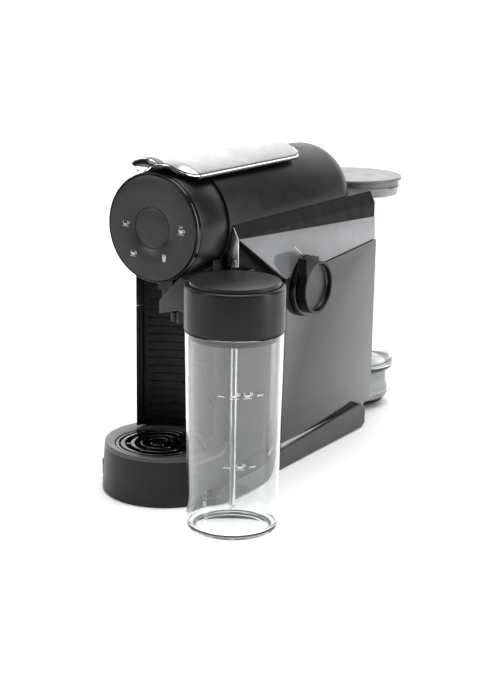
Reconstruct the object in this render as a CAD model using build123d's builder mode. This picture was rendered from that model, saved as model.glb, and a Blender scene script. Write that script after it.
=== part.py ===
from build123d import *
import os
from math import hypot, sqrt

# Pod coffee machine with a milk jug, as an assembly of separate pieces. Millimetres, +Z up.
# The front of the machine faces -Y. The jug and the milk knob are on the +X side.
# Places are measured from the head: x from its axis, y back from the control disc's face, z from the floor.
# The part's origin is on the floor in the middle of the whole outline, so the head's reference is shifted.

os.makedirs("parts", exist_ok=True)

# --- Driving dimensions -------------------------------------------------------------------------
HEAD_Z = 213.6            # height of the head's axis
BEZEL_R = 42.35           # round front face
COLLAR_R = 42.8
TUBE_R = 44.0
COLLAR_BACK = 40.0        # seam between the collar and the tube
TUBE_STRAIGHT = 214.0     # the tube is straight up to here, then it closes in a round end
TUBE_END_R = 34.0
WALL = 2.5                # general wall of moulded shells
BODY_HALF = 50.0          # half width of the casing
BODY_FRONT = 45.0
BODY_BACK = 259.5
BODY_TOP = 213.9
BODY_LOW = 22.0
SHOULDER_Z = 204.0        # the top edge is cut off between here and BODY_TOP
SHOULDER_X = 45.0
NECK_HALF = 42.5          # the casing is narrower under the side wedges
PANEL_T = 3.0
PANEL_FRONT = 108.0       # front edge of the side panels
PANEL_LOW = 21.2
TIP_Y = 43.5              # the wedge's sharp front tip
WEDGE_REAR_TOP = 191.4
CREASE_FRONT = (109.9, 161.2)
CREASE_REAR_Z = 171.5
PANEL_REAR = 262.0
SKIRT_HALF = 56.4         # half width of the base
SKIRT_FRONT = 7.0
FOOT_H = 1.5
TRAY_Y = 18.0             # centre of the round drip tray
TRAY_R_LOW = 51.0
TRAY_R_TOP = 48.8
TRAY_H = 40.0
GRILLE_Y = 8.0
GRILLE_R = 34.4
COLUMN_HALF = 37.0        # ribbed column over the tray
COLUMN_CURVE_R = 42.0
BIN_BACK = 104.0
BIN_LOW = 41.2
BIN_TOP = 142.0
RIB_PITCH = 6.6
JUG_X = 89.4
JUG_Y = -19.4
JUG_R_LOW = 34.2
JUG_R_TOP = 36.75
JUG_H = 152.3
LID_R = 37.0
LID_LOW = 152.6
LID_TOP = 189.0
KNOB_Y = 141.0
KNOB_Z = 150.7
KNOB_R = 22.0
KNOB_BASE_R = 25.0
TANK_Y = 309.4
TANK_R = 45.2
TANK_LOW = 14.0
TANK_FLOOR = 40.0
TANK_TOP = 211.0
TANK_LID_R = 45.6
TANK_LID_TOP = 219.0
LEVER_FRONT = 12.0
LEVER_REAR = 168.0
LEVER_HALF = 31.0
LEVER_R = 48.0            # the lever is arched across, round a line at LEVER_ARCH_Z
LEVER_ARCH_Z = 217.0
PIVOT_Y = 164.5
PIVOT_Z = 257.9
BREW_Z = 206.0            # axis of the brewing chamber
GAP = 0.3                 # room between pieces that move past each other

# The outline's middle, which puts the origin at the centre of the footprint
HEAD_X = -(JUG_X + LID_R - SKIRT_HALF) / 2
FACE_Y = -(TANK_Y + TANK_LID_R + JUG_Y - LID_R) / 2


def level(z):
    """Plan plane at a height: x from the head's axis, y back from the disc."""
    return Plane((HEAD_X, FACE_Y, z))


def across(x):
    """Side plane at a distance from the head's axis: its x is the depth, its y the height."""
    return Plane((HEAD_X + x, FACE_Y, 0), x_dir=(0, 1, 0), z_dir=(1, 0, 0))


def facing(y):
    """Front plane at a depth: its x is the width, its y the height; it extrudes to the front."""
    return Plane((HEAD_X, FACE_Y + y, 0), x_dir=(1, 0, 0), z_dir=(0, -1, 0))


def jug_plane(z):
    """Plan plane centred on the jug."""
    return Plane((HEAD_X + JUG_X, FACE_Y + JUG_Y, z))


def jug_side():
    """Upright plane through the jug's axis: its x is the radius."""
    return Plane((HEAD_X + JUG_X, FACE_Y + JUG_Y, 0), x_dir=(1, 0, 0), z_dir=(0, -1, 0))


def tank_side():
    """Upright plane through the tank's axis: its x is the radius."""
    return Plane((HEAD_X, FACE_Y + TANK_Y, 0), x_dir=(1, 0, 0), z_dir=(0, -1, 0))


def jug_radial(target_x, target_y):
    """Upright plane through the jug's axis whose x points towards a place near the machine."""
    run_x, run_y = target_x - JUG_X, target_y - JUG_Y
    run = hypot(run_x, run_y)
    return Plane(
        (HEAD_X + JUG_X, FACE_Y + JUG_Y, 0),
        x_dir=(run_x / run, run_y / run, 0),
        z_dir=(run_y / run, -run_x / run, 0),
    )


HEAD_AXIS = Axis((HEAD_X, FACE_Y, HEAD_Z), (0, 1, 0))
JUG_AXIS = Axis((HEAD_X + JUG_X, FACE_Y + JUG_Y, 0), (0, 0, 1))
TANK_AXIS = Axis((HEAD_X, FACE_Y + TANK_Y, 0), (0, 0, 1))

# --- Base ---------------------------------------------------------------------------------------
BAY_R = TRAY_R_LOW + 0.6
FEET = [(-44, 66), (44, 66), (-44, 226), (44, 226)]
SCREW_R = 3.0
SCREWS = [(-40, 84), (40, 84), (-40, 206), (40, 206)]

with BuildPart() as base_frame:
    with BuildSketch(across(-SKIRT_HALF)):
        with BuildLine():
            Polyline(
                (SKIRT_FRONT, FOOT_H),
                (SKIRT_FRONT, 14.5),
                (100, 16.5),
                (238, 24),
                (252, 17),
                (252, 6),
                (240, FOOT_H),
                close=True,
            )
        make_face()
    extrude(amount=2 * SKIRT_HALF)
    with BuildSketch(level(0)):                       # round bay of the drip tray, open to the front
        with Locations((0, TRAY_Y)):
            Circle(BAY_R)
        with Locations((0, TRAY_Y - 20)):
            Rectangle(2 * BAY_R, 40)
    extrude(amount=TRAY_H, mode=Mode.SUBTRACT)
    with BuildSketch(level(20.6)):                    # seat of the casing and the side panels
        with Locations((0, 160)):
            Rectangle(2 * (BODY_HALF + PANEL_T + GAP), 240)
    extrude(amount=10, mode=Mode.SUBTRACT)
    with BuildSketch(level(4.5)):                     # inside of the base
        with Locations((0, 156)):
            Rectangle(92, 164)
    extrude(amount=30, mode=Mode.SUBTRACT)
    with BuildSketch(level(0)):                       # screw holes through the floor
        with Locations(*SCREWS):
            Circle(SCREW_R + 0.05)
    extrude(amount=4.5, mode=Mode.SUBTRACT)
    side_edges = base_frame.edges().filter_by(Axis.Z).group_by(Axis.Y)[-1]
    fillet(side_edges, radius=7)
base_frame.part.label = "base_frame"
export_step(base_frame.part, "parts/base_frame.step")

with BuildPart() as rubber_feet:
    with BuildSketch(level(0)):
        with Locations(*FEET):
            Circle(6.5)
    extrude(amount=FOOT_H)
rubber_feet.part.label = "rubber_feet"
export_step(rubber_feet.part, "parts/rubber_feet.step")

with BuildPart() as base_screws:
    with BuildSketch(level(FOOT_H + 0.4)):
        with Locations(*SCREWS):
            Circle(SCREW_R)
            Rectangle(3.6, 0.9, mode=Mode.SUBTRACT)
            Rectangle(0.9, 3.6, mode=Mode.SUBTRACT)
    extrude(amount=1.2)
    with BuildSketch(level(FOOT_H + 1.6)):
        with Locations(*SCREWS):
            Circle(SCREW_R)
    extrude(amount=1.4)
base_screws.part.label = "base_screws"
export_step(base_screws.part, "parts/base_screws.step")

# --- Casing -------------------------------------------------------------------------------------


def casing_section(inset):
    """Front outline of the casing, drawn in the sketch that is open."""
    half, shoulder = BODY_HALF - inset, SHOULDER_X - inset * 0.6
    with BuildLine() as outline:
        Polyline(
            (-half, BODY_LOW - 5 * (inset > 0)),
            (-half, SHOULDER_Z - inset * 0.4),
            (-shoulder, BODY_TOP - inset),
            (shoulder, BODY_TOP - inset),
            (half, SHOULDER_Z - inset * 0.4),
            (half, BODY_LOW - 5 * (inset > 0)),
            close=True,
        )
    make_face(outline.edges())


def under_wedge(inset):
    """Side outline of the space below the wedge's diagonal, in front of the panel."""
    back = PANEL_FRONT + GAP + inset
    with BuildLine() as outline:
        Polyline(
            (BODY_FRONT - 5, BODY_LOW - 8),
            (back, BODY_LOW - 8),
            (back, CREASE_FRONT[1] + inset),
            (TIP_Y, SHOULDER_Z + inset),
            (BODY_FRONT - 5, SHOULDER_Z + inset),
            close=True,
        )
    make_face(outline.edges())


def tube_outline(radius_change):
    """Half outline of the tube's outside, moved in or out, in a side plane through its axis."""
    radius = TUBE_R + radius_change
    end_r = TUBE_END_R + radius_change
    with BuildLine() as outline:
        Line((COLLAR_BACK + 0.4, HEAD_Z), (COLLAR_BACK + 0.4, HEAD_Z + radius))
        Line((COLLAR_BACK + 0.4, HEAD_Z + radius), (TUBE_STRAIGHT, HEAD_Z + radius))
        CenterArc((TUBE_STRAIGHT, HEAD_Z + radius - end_r), end_r, 90, -90)
        Line((TUBE_STRAIGHT + end_r, HEAD_Z + radius - end_r), (TUBE_STRAIGHT + end_r, HEAD_Z))
        Line((TUBE_STRAIGHT + end_r, HEAD_Z), (COLLAR_BACK + 0.4, HEAD_Z))
    make_face(outline.edges())


with BuildPart() as casing_inside:
    with BuildSketch(facing(BODY_BACK + 5)):
        casing_section(WALL)
    extrude(amount=BODY_BACK + 5 - BODY_FRONT - WALL)
    for side in (-1, 1):
        with BuildSketch(across(side * (NECK_HALF - WALL))):
            under_wedge(WALL)
        extrude(amount=side * 15, mode=Mode.SUBTRACT)

with BuildPart() as main_casing:
    with BuildSketch(facing(BODY_BACK)):
        casing_section(0)
    extrude(amount=BODY_BACK - BODY_FRONT)
    for side in (-1, 1):
        with BuildSketch(across(side * NECK_HALF)):
            under_wedge(0)
        extrude(amount=side * 15, mode=Mode.SUBTRACT)
    add(casing_inside.part, mode=Mode.SUBTRACT)
    with BuildSketch(across(0)):                      # the tube lies in the top
        tube_outline(0.2)
    revolve(axis=HEAD_AXIS, mode=Mode.SUBTRACT)
    with BuildSketch(facing(BODY_FRONT + 4)):         # the column's opening in the front wall
        with Locations((0, 90)):
            Rectangle(2 * COLUMN_HALF + 2.4, 200)
    extrude(amount=10, mode=Mode.SUBTRACT)
    with BuildSketch(level(0)):                       # the tray's round bay
        with Locations((0, TRAY_Y)):
            Circle(BAY_R)
    extrude(amount=TRAY_H + 0.8, mode=Mode.SUBTRACT)
    with BuildSketch(across(BODY_HALF - WALL - 1)):   # hole of the knob's shaft
        with Locations((KNOB_Y, KNOB_Z)):
            Circle(6)
    extrude(amount=WALL + 2, mode=Mode.SUBTRACT)
main_casing.part.label = "main_casing"
export_step(main_casing.part, "parts/main_casing.step")

# --- Side panels: a flat lower panel and a tilted wedge above it ----------------------------------
SEAM = 0.25               # half of the fine dark line between panel and wedge
PANEL_OUT = BODY_HALF + PANEL_T
tip_point = Vector(HEAD_X + BODY_HALF + 0.5, FACE_Y + TIP_Y, SHOULDER_Z)
rear_point = Vector(HEAD_X + BODY_HALF + 0.5, FACE_Y + PANEL_REAR, WEDGE_REAR_TOP)
crease_point = Vector(HEAD_X + PANEL_OUT, FACE_Y + CREASE_FRONT[0], CREASE_FRONT[1])
wedge_normal = (crease_point - tip_point).cross(rear_point - tip_point)
if wedge_normal.X < 0:
    wedge_normal = -wedge_normal
WEDGE_PLANE = Plane(origin=tip_point, z_dir=wedge_normal)

with BuildPart() as right_panel:
    with BuildSketch(across(BODY_HALF)):
        with BuildLine():
            Polyline(
                (PANEL_FRONT, PANEL_LOW),
                (CREASE_FRONT[0] - 0.3, CREASE_FRONT[1] - SEAM),
                (PANEL_REAR, CREASE_REAR_Z - SEAM),
                (PANEL_REAR, PANEL_LOW),
                close=True,
            )
        make_face()
        with Locations((KNOB_Y, KNOB_Z)):
            Circle(KNOB_BASE_R + 0.1, mode=Mode.SUBTRACT)
    extrude(amount=PANEL_T)
    chamfer(right_panel.faces().sort_by(Axis.X)[-1].edges(), length=0.4)
right_panel.part.label = "right_panel"
export_step(right_panel.part, "parts/right_panel.step")

with BuildPart() as right_wedge:
    with BuildSketch(across(BODY_HALF)):
        with BuildLine():
            Polyline(
                (TIP_Y, SHOULDER_Z),
                (CREASE_FRONT[0], CREASE_FRONT[1] + SEAM),
                (PANEL_REAR, CREASE_REAR_Z + SEAM),
                (PANEL_REAR, WEDGE_REAR_TOP),
                close=True,
            )
        make_face()
        with Locations((KNOB_Y, KNOB_Z)):
            Circle(KNOB_BASE_R + 0.1, mode=Mode.SUBTRACT)
    extrude(amount=PANEL_T)
    split(bisect_by=WEDGE_PLANE, keep=Keep.BOTTOM)
right_wedge.part.label = "right_wedge"
export_step(right_wedge.part, "parts/right_wedge.step")

with BuildPart() as left_panel:
    with BuildSketch(across(-BODY_HALF)):
        with BuildLine():
            Polyline(
                (PANEL_FRONT, PANEL_LOW),
                (CREASE_FRONT[0] - 0.3, CREASE_FRONT[1] - SEAM),
                (PANEL_REAR, CREASE_REAR_Z - SEAM),
                (PANEL_REAR, PANEL_LOW),
                close=True,
            )
        make_face()
    extrude(amount=-PANEL_T)
    chamfer(left_panel.faces().sort_by(Axis.X)[0].edges(), length=0.4)
left_panel.part.label = "left_panel"
export_step(left_panel.part, "parts/left_panel.step")

with BuildPart() as left_wedge:
    with BuildSketch(across(BODY_HALF)):
        with BuildLine():
            Polyline(
                (TIP_Y, SHOULDER_Z),
                (CREASE_FRONT[0], CREASE_FRONT[1] + SEAM),
                (PANEL_REAR, CREASE_REAR_Z + SEAM),
                (PANEL_REAR, WEDGE_REAR_TOP),
                close=True,
            )
        make_face()
    extrude(amount=PANEL_T)
    split(bisect_by=WEDGE_PLANE, keep=Keep.BOTTOM)
    mirror(about=Plane.YZ.offset(HEAD_X), mode=Mode.REPLACE)
left_wedge.part.label = "left_wedge"
export_step(left_wedge.part, "parts/left_wedge.step")

# --- Rear cover, its screws and the cord's gland --------------------------------------------------
COVER_T = 2.5
CORD_AT = (-38, 42)
GLAND_R = 6.0
COVER_SCREWS = [(-43, 32), (43, 32), (-43, 192), (43, 192)]

with BuildPart() as rear_cover:
    with BuildSketch(facing(BODY_BACK + COVER_T)):
        casing_section(0)
        with Locations(CORD_AT):
            Circle(GLAND_R + 0.05, mode=Mode.SUBTRACT)
        with Locations(*COVER_SCREWS):
            Circle(1.55, mode=Mode.SUBTRACT)
        with GridLocations(0, 7, 1, 9):
            with Locations((0, 110)):
                SlotOverall(50, 2.4, mode=Mode.SUBTRACT)
    extrude(amount=COVER_T)
rear_cover.part.label = "rear_cover"
export_step(rear_cover.part, "parts/rear_cover.step")

with BuildPart() as rear_screws:
    with BuildSketch(facing(BODY_BACK + COVER_T)):
        with Locations(*COVER_SCREWS):
            Circle(1.5)
    extrude(amount=COVER_T)
    with BuildSketch(facing(BODY_BACK + COVER_T)):
        with Locations(*COVER_SCREWS):
            Circle(3)
    extrude(amount=-1.0)
    with BuildSketch(facing(BODY_BACK + COVER_T + 1.8)):
        with Locations(*COVER_SCREWS):
            Circle(3)
            Rectangle(3.6, 0.9, mode=Mode.SUBTRACT)
            Rectangle(0.9, 3.6, mode=Mode.SUBTRACT)
    extrude(amount=0.8)
rear_screws.part.label = "rear_screws"
export_step(rear_screws.part, "parts/rear_screws.step")

with BuildPart() as cord_gland:
    with BuildSketch(facing(BODY_BACK + COVER_T)):
        with Locations(CORD_AT):
            Circle(GLAND_R)
            Circle(3.4, mode=Mode.SUBTRACT)
    extrude(amount=COVER_T)
    with BuildSketch(facing(BODY_BACK + COVER_T + 3)):
        with Locations(CORD_AT):
            Circle(GLAND_R + 1.5)
            Circle(3.4, mode=Mode.SUBTRACT)
    extrude(amount=3)
cord_gland.part.label = "cord_gland"
export_step(cord_gland.part, "parts/cord_gland.step")

# --- Head: tube, collar, bezel, control disc ------------------------------------------------------
with BuildPart() as tube_inside:
    with BuildSketch(across(0)):
        tube_outline(-WALL)
    revolve(axis=HEAD_AXIS)

SLOT_HALF = 18.5          # capsule opening under the lever
SLOT_FRONT, SLOT_BACK = 47.0, 93.0
HINGE_HALF = 14.0         # window of the lever's hinge
HINGE_FRONT, HINGE_BACK = 157.5, 173.0

with BuildPart() as head_tube:
    with BuildSketch(across(0)):
        tube_outline(0)
    revolve(axis=HEAD_AXIS)
    add(tube_inside.part, mode=Mode.SUBTRACT)
    with BuildSketch(level(HEAD_Z + 15)):
        with Locations((0, (SLOT_FRONT + SLOT_BACK) / 2)):
            RectangleRounded(2 * SLOT_HALF, SLOT_BACK - SLOT_FRONT, 4)
        with Locations((0, (HINGE_FRONT + HINGE_BACK) / 2)):
            Rectangle(2 * HINGE_HALF + 0.4, HINGE_BACK - HINGE_FRONT + 0.4)
    extrude(amount=40, mode=Mode.SUBTRACT)
    with BuildSketch(level(HEAD_Z - 60)):             # used capsules fall through here
        with Locations((0, 74)):
            Rectangle(44, 52)
    extrude(amount=50, mode=Mode.SUBTRACT)
head_tube.part.label = "head_tube"
export_step(head_tube.part, "parts/head_tube.step")

with BuildPart() as front_collar:
    with BuildSketch(facing(COLLAR_BACK)):
        with Locations((0, HEAD_Z)):
            Circle(COLLAR_R)
            Circle(COLLAR_R - WALL, mode=Mode.SUBTRACT)
    extrude(amount=COLLAR_BACK - 4)
    with BuildSketch(facing(14)):                     # ledge that carries the control board
        with Locations((0, HEAD_Z)):
            Circle(COLLAR_R - 1)
            Circle(33, mode=Mode.SUBTRACT)
    extrude(amount=4.9)
    with BuildSketch(level(HEAD_Z - 60)):             # passage of the coffee outlet
        with Locations((0, 24)):
            Rectangle(16.6, 16.6)
    extrude(amount=50, mode=Mode.SUBTRACT)
front_collar.part.label = "front_collar"
export_step(front_collar.part, "parts/front_collar.step")

with BuildPart() as disc_bezel:
    with BuildSketch(facing(4)):
        with Locations((0, HEAD_Z)):
            Circle(BEZEL_R)
            Circle(BEZEL_R - 1.2, mode=Mode.SUBTRACT)
    extrude(amount=3.6)
    chamfer(disc_bezel.faces().sort_by(Axis.Y)[0].edges(), length=0.3)
disc_bezel.part.label = "disc_bezel"
export_step(disc_bezel.part, "parts/disc_bezel.step")

DISC_R = BEZEL_R - 1.25
BUTTON_R = 15.9
with BuildPart() as control_disc:
    with BuildSketch(facing(3.2)):
        with Locations((0, HEAD_Z)):
            Circle(DISC_R)
            Circle(BUTTON_R + GAP, mode=Mode.SUBTRACT)
    extrude(amount=3.2)
    fillet(control_disc.faces().sort_by(Axis.Y)[0].edges().sort_by(SortBy.LENGTH)[-1], radius=0.6)
control_disc.part.label = "control_disc"
export_step(control_disc.part, "parts/control_disc.step")

with BuildPart() as start_button:
    with BuildSketch(facing(3.4)):
        with Locations((0, HEAD_Z)):
            Circle(BUTTON_R)
    extrude(amount=3.4)
    fillet(start_button.faces().sort_by(Axis.Y)[0].edges(), radius=0.4)
    with BuildSketch(facing(6)):                      # stem over the switch
        with Locations((0, HEAD_Z)):
            Circle(3)
    extrude(amount=2.6)
start_button.part.label = "start_button"
export_step(start_button.part, "parts/start_button.step")

with BuildPart() as control_board:
    with BuildSketch(facing(9.1)):
        with Locations((0, HEAD_Z)):
            Circle(38)
    extrude(amount=1.3)
    with BuildSketch(facing(7.8)):                    # switch
        with Locations((0, HEAD_Z)):
            Rectangle(6, 6)
    extrude(amount=0.5)
    with BuildSketch(facing(7.8)):                    # lamps behind the pictograms
        with Locations((0, HEAD_Z)):
            with PolarLocations(27, 4, start_angle=190, angular_range=110):
                Rectangle(3, 3)
    extrude(amount=1.2)
control_board.part.label = "control_board"
export_step(control_board.part, "parts/control_board.step")

# --- Brewing unit inside the head -----------------------------------------------------------------
with BuildPart() as capsule_guide:
    with BuildSketch(level(236)):
        with Locations((0, (SLOT_FRONT + SLOT_BACK) / 2)):
            RectangleRounded(2 * SLOT_HALF - 0.6, SLOT_BACK - SLOT_FRONT - 0.6, 3.7)
            RectangleRounded(2 * SLOT_HALF - 5, SLOT_BACK - SLOT_FRONT - 5, 2, mode=Mode.SUBTRACT)
    extrude(amount=17)
capsule_guide.part.label = "capsule_guide"
export_step(capsule_guide.part, "parts/capsule_guide.step")

with BuildPart() as brew_frame:
    for side in (-1, 1):                              # two cheeks that guide the piston
        with BuildSketch(across(side * 27)):
            with Locations((98, 206)):
                Rectangle(104, 40)
        extrude(amount=side * 2.6)
    with BuildSketch(facing(150)):                    # rear plate with the rod's hole
        with Locations((0, BREW_Z)):
            Rectangle(54, 40)
            Circle(8.08, mode=Mode.SUBTRACT)
    extrude(amount=4)
brew_frame.part.label = "brew_frame"
export_step(brew_frame.part, "parts/brew_frame.step")

with BuildPart() as brew_chamber:
    with BuildSketch(facing(66)):
        with Locations((0, BREW_Z)):
            Circle(26)
    extrude(amount=20)
    with BuildSketch(facing(66)):                     # seat of the capsule
        with Locations((0, BREW_Z)):
            Circle(18.5)
    extrude(amount=12, mode=Mode.SUBTRACT)
    with BuildSketch(facing(46)):                     # outlet channel to the front
        with Locations((0, BREW_Z - 20)):
            Rectangle(14, 10)
    extrude(amount=16)
brew_chamber.part.label = "brew_chamber"
export_step(brew_chamber.part, "parts/brew_chamber.step")

with BuildPart() as brew_piston:
    with BuildSketch(facing(86)):
        with Locations((0, BREW_Z)):
            Circle(20)
    extrude(amount=86 - 66.5)
    with BuildSketch(facing(92)):
        with Locations((0, BREW_Z)):
            Circle(25)
    extrude(amount=6)
    with BuildSketch(facing(158)):
        with Locations((0, BREW_Z)):
            Circle(8)
    extrude(amount=66)
brew_piston.part.label = "brew_piston"
export_step(brew_piston.part, "parts/brew_piston.step")

with BuildPart() as coffee_spout:
    with BuildSketch(level(162)):
        with Locations((0, 22)):
            Rectangle(12, 12)
    with BuildSketch(level(171)):
        with Locations((0, 24)):
            Rectangle(16, 16)
    loft()
    with BuildSketch(level(171)):
        with Locations((0, 24)):
            Rectangle(16, 16)
    extrude(amount=9)
    with BuildSketch(level(156)):                     # twin outlets towards the cup
        with Locations((0, 20)):
            Circle(4)
    extrude(amount=8)
    with BuildSketch(level(156)):
        with Locations((0, 20)):
            Circle(2.4)
    extrude(amount=20, mode=Mode.SUBTRACT)
coffee_spout.part.label = "coffee_spout"
export_step(coffee_spout.part, "parts/coffee_spout.step")

# --- Lever ---------------------------------------------------------------------------------------
LEVER_T = 3.0
FRAME_T = 2.2
FRAME_HALF = 26.0
FRAME_FRONT = 24.6
FRAME_REAR = 153.0
LIP_HALF = 15.0
PIN_R = 1.2


def arch(outer, inner, half):
    """Cross-section of an arched sheet, in a front plane."""
    with Locations((0, LEVER_ARCH_Z)):
        Circle(outer)
        Circle(inner, mode=Mode.SUBTRACT)
    with Locations((0, LEVER_ARCH_Z + LEVER_R / 2)):
        Rectangle(2 * half, LEVER_R, mode=Mode.INTERSECT)


with BuildPart() as lever_plate:
    with BuildSketch(facing(LEVER_REAR + 5)):         # the arched sheet, before it is cut to its outline
        arch(LEVER_R, LEVER_R - LEVER_T, LEVER_HALF + 5)
    extrude(amount=LEVER_REAR - LEVER_FRONT + 10)
    with BuildSketch(level(LEVER_ARCH_Z)):            # rounded corners, seen from above
        with Locations((0, (LEVER_FRONT + LEVER_REAR) / 2)):
            RectangleRounded(2 * LEVER_HALF, LEVER_REAR - LEVER_FRONT, 9)
    extrude(amount=60, mode=Mode.INTERSECT)
    with BuildSketch(across(-LIP_HALF)):              # finger lip, rising and rolled over in front
        with BuildLine():
            Line((16, 258.8), (16, 263.8))
            Line((16, 263.8), (4, 267.4))
            ThreePointArc((4, 267.4), (-6, 268.2), (-12.6, 259.4))
            Line((-12.6, 259.4), (-10, 258.8))
            ThreePointArc((-10, 258.8), (-6, 262.4), (4, 263.6))
            Line((4, 263.6), (16, 258.8))
        make_face()
    extrude(amount=2 * LIP_HALF)
lever_plate.part.label = "lever_plate"
export_step(lever_plate.part, "parts/lever_plate.step")

with BuildPart() as lever_frame:
    with BuildSketch(facing(FRAME_REAR)):
        arch(LEVER_R - LEVER_T, LEVER_R - LEVER_T - FRAME_T, FRAME_HALF)
    extrude(amount=FRAME_REAR - FRAME_FRONT)
    with BuildSketch(level(LEVER_ARCH_Z)):            # room for the capsule opening
        with Locations((0, (SLOT_FRONT + SLOT_BACK) / 2)):
            RectangleRounded(30, 40, 5)
    extrude(amount=60, mode=Mode.SUBTRACT)
    with BuildSketch(across(-8)):                     # lug on the pin
        with Locations((PIVOT_Y, PIVOT_Z)):
            Circle(2.5)
        with BuildLine():
            Polyline(
                (PIVOT_Y, PIVOT_Z - 2.5),
                (HINGE_FRONT + 1.5, PIVOT_Z + 0.4),
                (150, 259.6),
                (150, 260.6),
                (PIVOT_Y + 2.4, 260.8),
                (PIVOT_Y + 2.5, PIVOT_Z),
                close=True,
            )
        make_face()
        with Locations((PIVOT_Y, PIVOT_Z)):
            Circle(PIN_R + 0.05, mode=Mode.SUBTRACT)
    extrude(amount=16)
lever_frame.part.label = "lever_frame"
export_step(lever_frame.part, "parts/lever_frame.step")

with BuildPart() as lever_hinge:
    with BuildSketch(level(250.5)):
        with Locations((0, (HINGE_FRONT + HINGE_BACK) / 2)):
            Rectangle(2 * HINGE_HALF, HINGE_BACK - HINGE_FRONT)
    extrude(amount=4.2)
    for side in (-1, 1):
        with BuildSketch(across(side * 8.6)):
            with Locations((PIVOT_Y, PIVOT_Z)):
                Circle(2.4)
            with Locations((PIVOT_Y, PIVOT_Z - 2.2)):
                Rectangle(4.8, 4.4)
            with Locations((PIVOT_Y, PIVOT_Z)):
                Circle(PIN_R, mode=Mode.SUBTRACT)
        extrude(amount=side * 2.6)
lever_hinge.part.label = "lever_hinge"
export_step(lever_hinge.part, "parts/lever_hinge.step")

with BuildPart() as lever_pin:
    with BuildSketch(across(-11.2)):
        with Locations((PIVOT_Y, PIVOT_Z)):
            Circle(PIN_R)
    extrude(amount=22.4)
lever_pin.part.label = "lever_pin"
export_step(lever_pin.part, "parts/lever_pin.step")

# --- Ribbed column: the fixed top and the capsule bin below it --------------------------------------
GROOVE_DEPTH = 0.9
GROOVE_H = 1.1
RIB_HALF = 30.5           # the ribs stop short of a plain border
BORDER_LINE = 33.6        # fine upright groove in that border


def column_plan(back, inset):
    """Plan of the column: a concave front round the cup, straight sides."""
    half = COLUMN_HALF - inset
    curve = COLUMN_CURVE_R + inset
    corner_y = GRILLE_Y + sqrt(curve**2 - half**2)
    with BuildLine() as outline:
        Polyline((-half, corner_y), (-half, back), (half, back), (half, corner_y))
        ThreePointArc((half, corner_y), (0, GRILLE_Y + curve), (-half, corner_y))
    make_face(outline.edges())


def cut_grooves(low, high):
    """Level grooves across the concave front, one every RIB_PITCH, and an upright one at each border."""
    count = int((high - low) / RIB_PITCH)
    for index in range(count):
        with BuildSketch(level(low + (index + 0.6) * RIB_PITCH)) as groove:
            with Locations((0, GRILLE_Y)):
                Circle(COLUMN_CURVE_R + GROOVE_DEPTH)
                Rectangle(2 * RIB_HALF, 4 * COLUMN_CURVE_R, mode=Mode.INTERSECT)
        extrude(groove.sketch, amount=GROOVE_H, mode=Mode.SUBTRACT)
    with BuildSketch(level(low)) as border:
        with Locations((0, GRILLE_Y)):
            Circle(COLUMN_CURVE_R + GROOVE_DEPTH)
        with Locations((-BORDER_LINE, GRILLE_Y), (BORDER_LINE, GRILLE_Y)):
            Rectangle(0.9, 4 * COLUMN_CURVE_R, mode=Mode.INTERSECT)
    extrude(border.sketch, amount=high - low, mode=Mode.SUBTRACT)


with BuildPart() as capsule_bin:
    with BuildSketch(level(BIN_LOW)):
        column_plan(BIN_BACK, 0)
    extrude(amount=BIN_TOP - BIN_LOW)
    with BuildSketch(level(BIN_LOW + WALL)):
        column_plan(BIN_BACK - WALL, 3.4)
    extrude(amount=BIN_TOP - BIN_LOW, mode=Mode.SUBTRACT)
    cut_grooves(BIN_LOW, BIN_TOP)
    for index in (5, 8, 11):                          # three level openings in the middle
        with BuildSketch(facing(70)):
            with Locations((0, BIN_LOW + (index + 0.6) * RIB_PITCH + GROOVE_H / 2)):
                SlotOverall(13, 2.6)
        extrude(amount=50, mode=Mode.SUBTRACT)
capsule_bin.part.label = "capsule_bin"
export_step(capsule_bin.part, "parts/capsule_bin.step")

CAP_LOW = BIN_TOP + 0.4
with BuildPart() as column_cap:
    with BuildSketch(level(CAP_LOW)):
        column_plan(60, 0)
        with Locations((0, 64)):
            Rectangle(2 * COLUMN_HALF - 7, 21, mode=Mode.SUBTRACT)
    extrude(amount=46)
    cut_grooves(CAP_LOW, 170)
    with BuildSketch(facing(70)):                     # saddle under the head
        with Locations((0, HEAD_Z)):
            Circle(TUBE_R + 0.2)
    extrude(amount=80, mode=Mode.SUBTRACT)
column_cap.part.label = "column_cap"
export_step(column_cap.part, "parts/column_cap.step")

# --- Drip tray ---------------------------------------------------------------------------------------
COVER_LOW = 36.6
with BuildPart() as drip_tray:
    with BuildSketch(level(0)):
        with Locations((0, TRAY_Y)):
            Circle(TRAY_R_LOW)
    with BuildSketch(level(COVER_LOW)):
        with Locations((0, TRAY_Y)):
            Circle(TRAY_R_TOP + 0.2)
    loft()
    with BuildSketch(level(WALL)):
        with Locations((0, TRAY_Y)):
            Circle(TRAY_R_TOP - WALL)
    extrude(amount=TRAY_H, mode=Mode.SUBTRACT)
drip_tray.part.label = "drip_tray"
export_step(drip_tray.part, "parts/drip_tray.step")

with BuildPart() as tray_cover:
    with BuildSketch(level(COVER_LOW)):
        with Locations((0, TRAY_Y)):
            Circle(TRAY_R_TOP + 0.2)
    with BuildSketch(level(TRAY_H)):
        with Locations((0, TRAY_Y)):
            Circle(TRAY_R_TOP)
    loft()
    with BuildSketch(level(COVER_LOW)):
        with Locations((0, GRILLE_Y)):
            Circle(GRILLE_R + GAP)
    extrude(amount=10, mode=Mode.SUBTRACT)
    with BuildSketch(level(COVER_LOW - 2)):           # ledge under the grille
        with Locations((0, GRILLE_Y)):
            Circle(GRILLE_R + 1.6)
            Circle(GRILLE_R - 2.4, mode=Mode.SUBTRACT)
    extrude(amount=2)
tray_cover.part.label = "tray_cover"
export_step(tray_cover.part, "parts/tray_cover.step")

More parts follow.
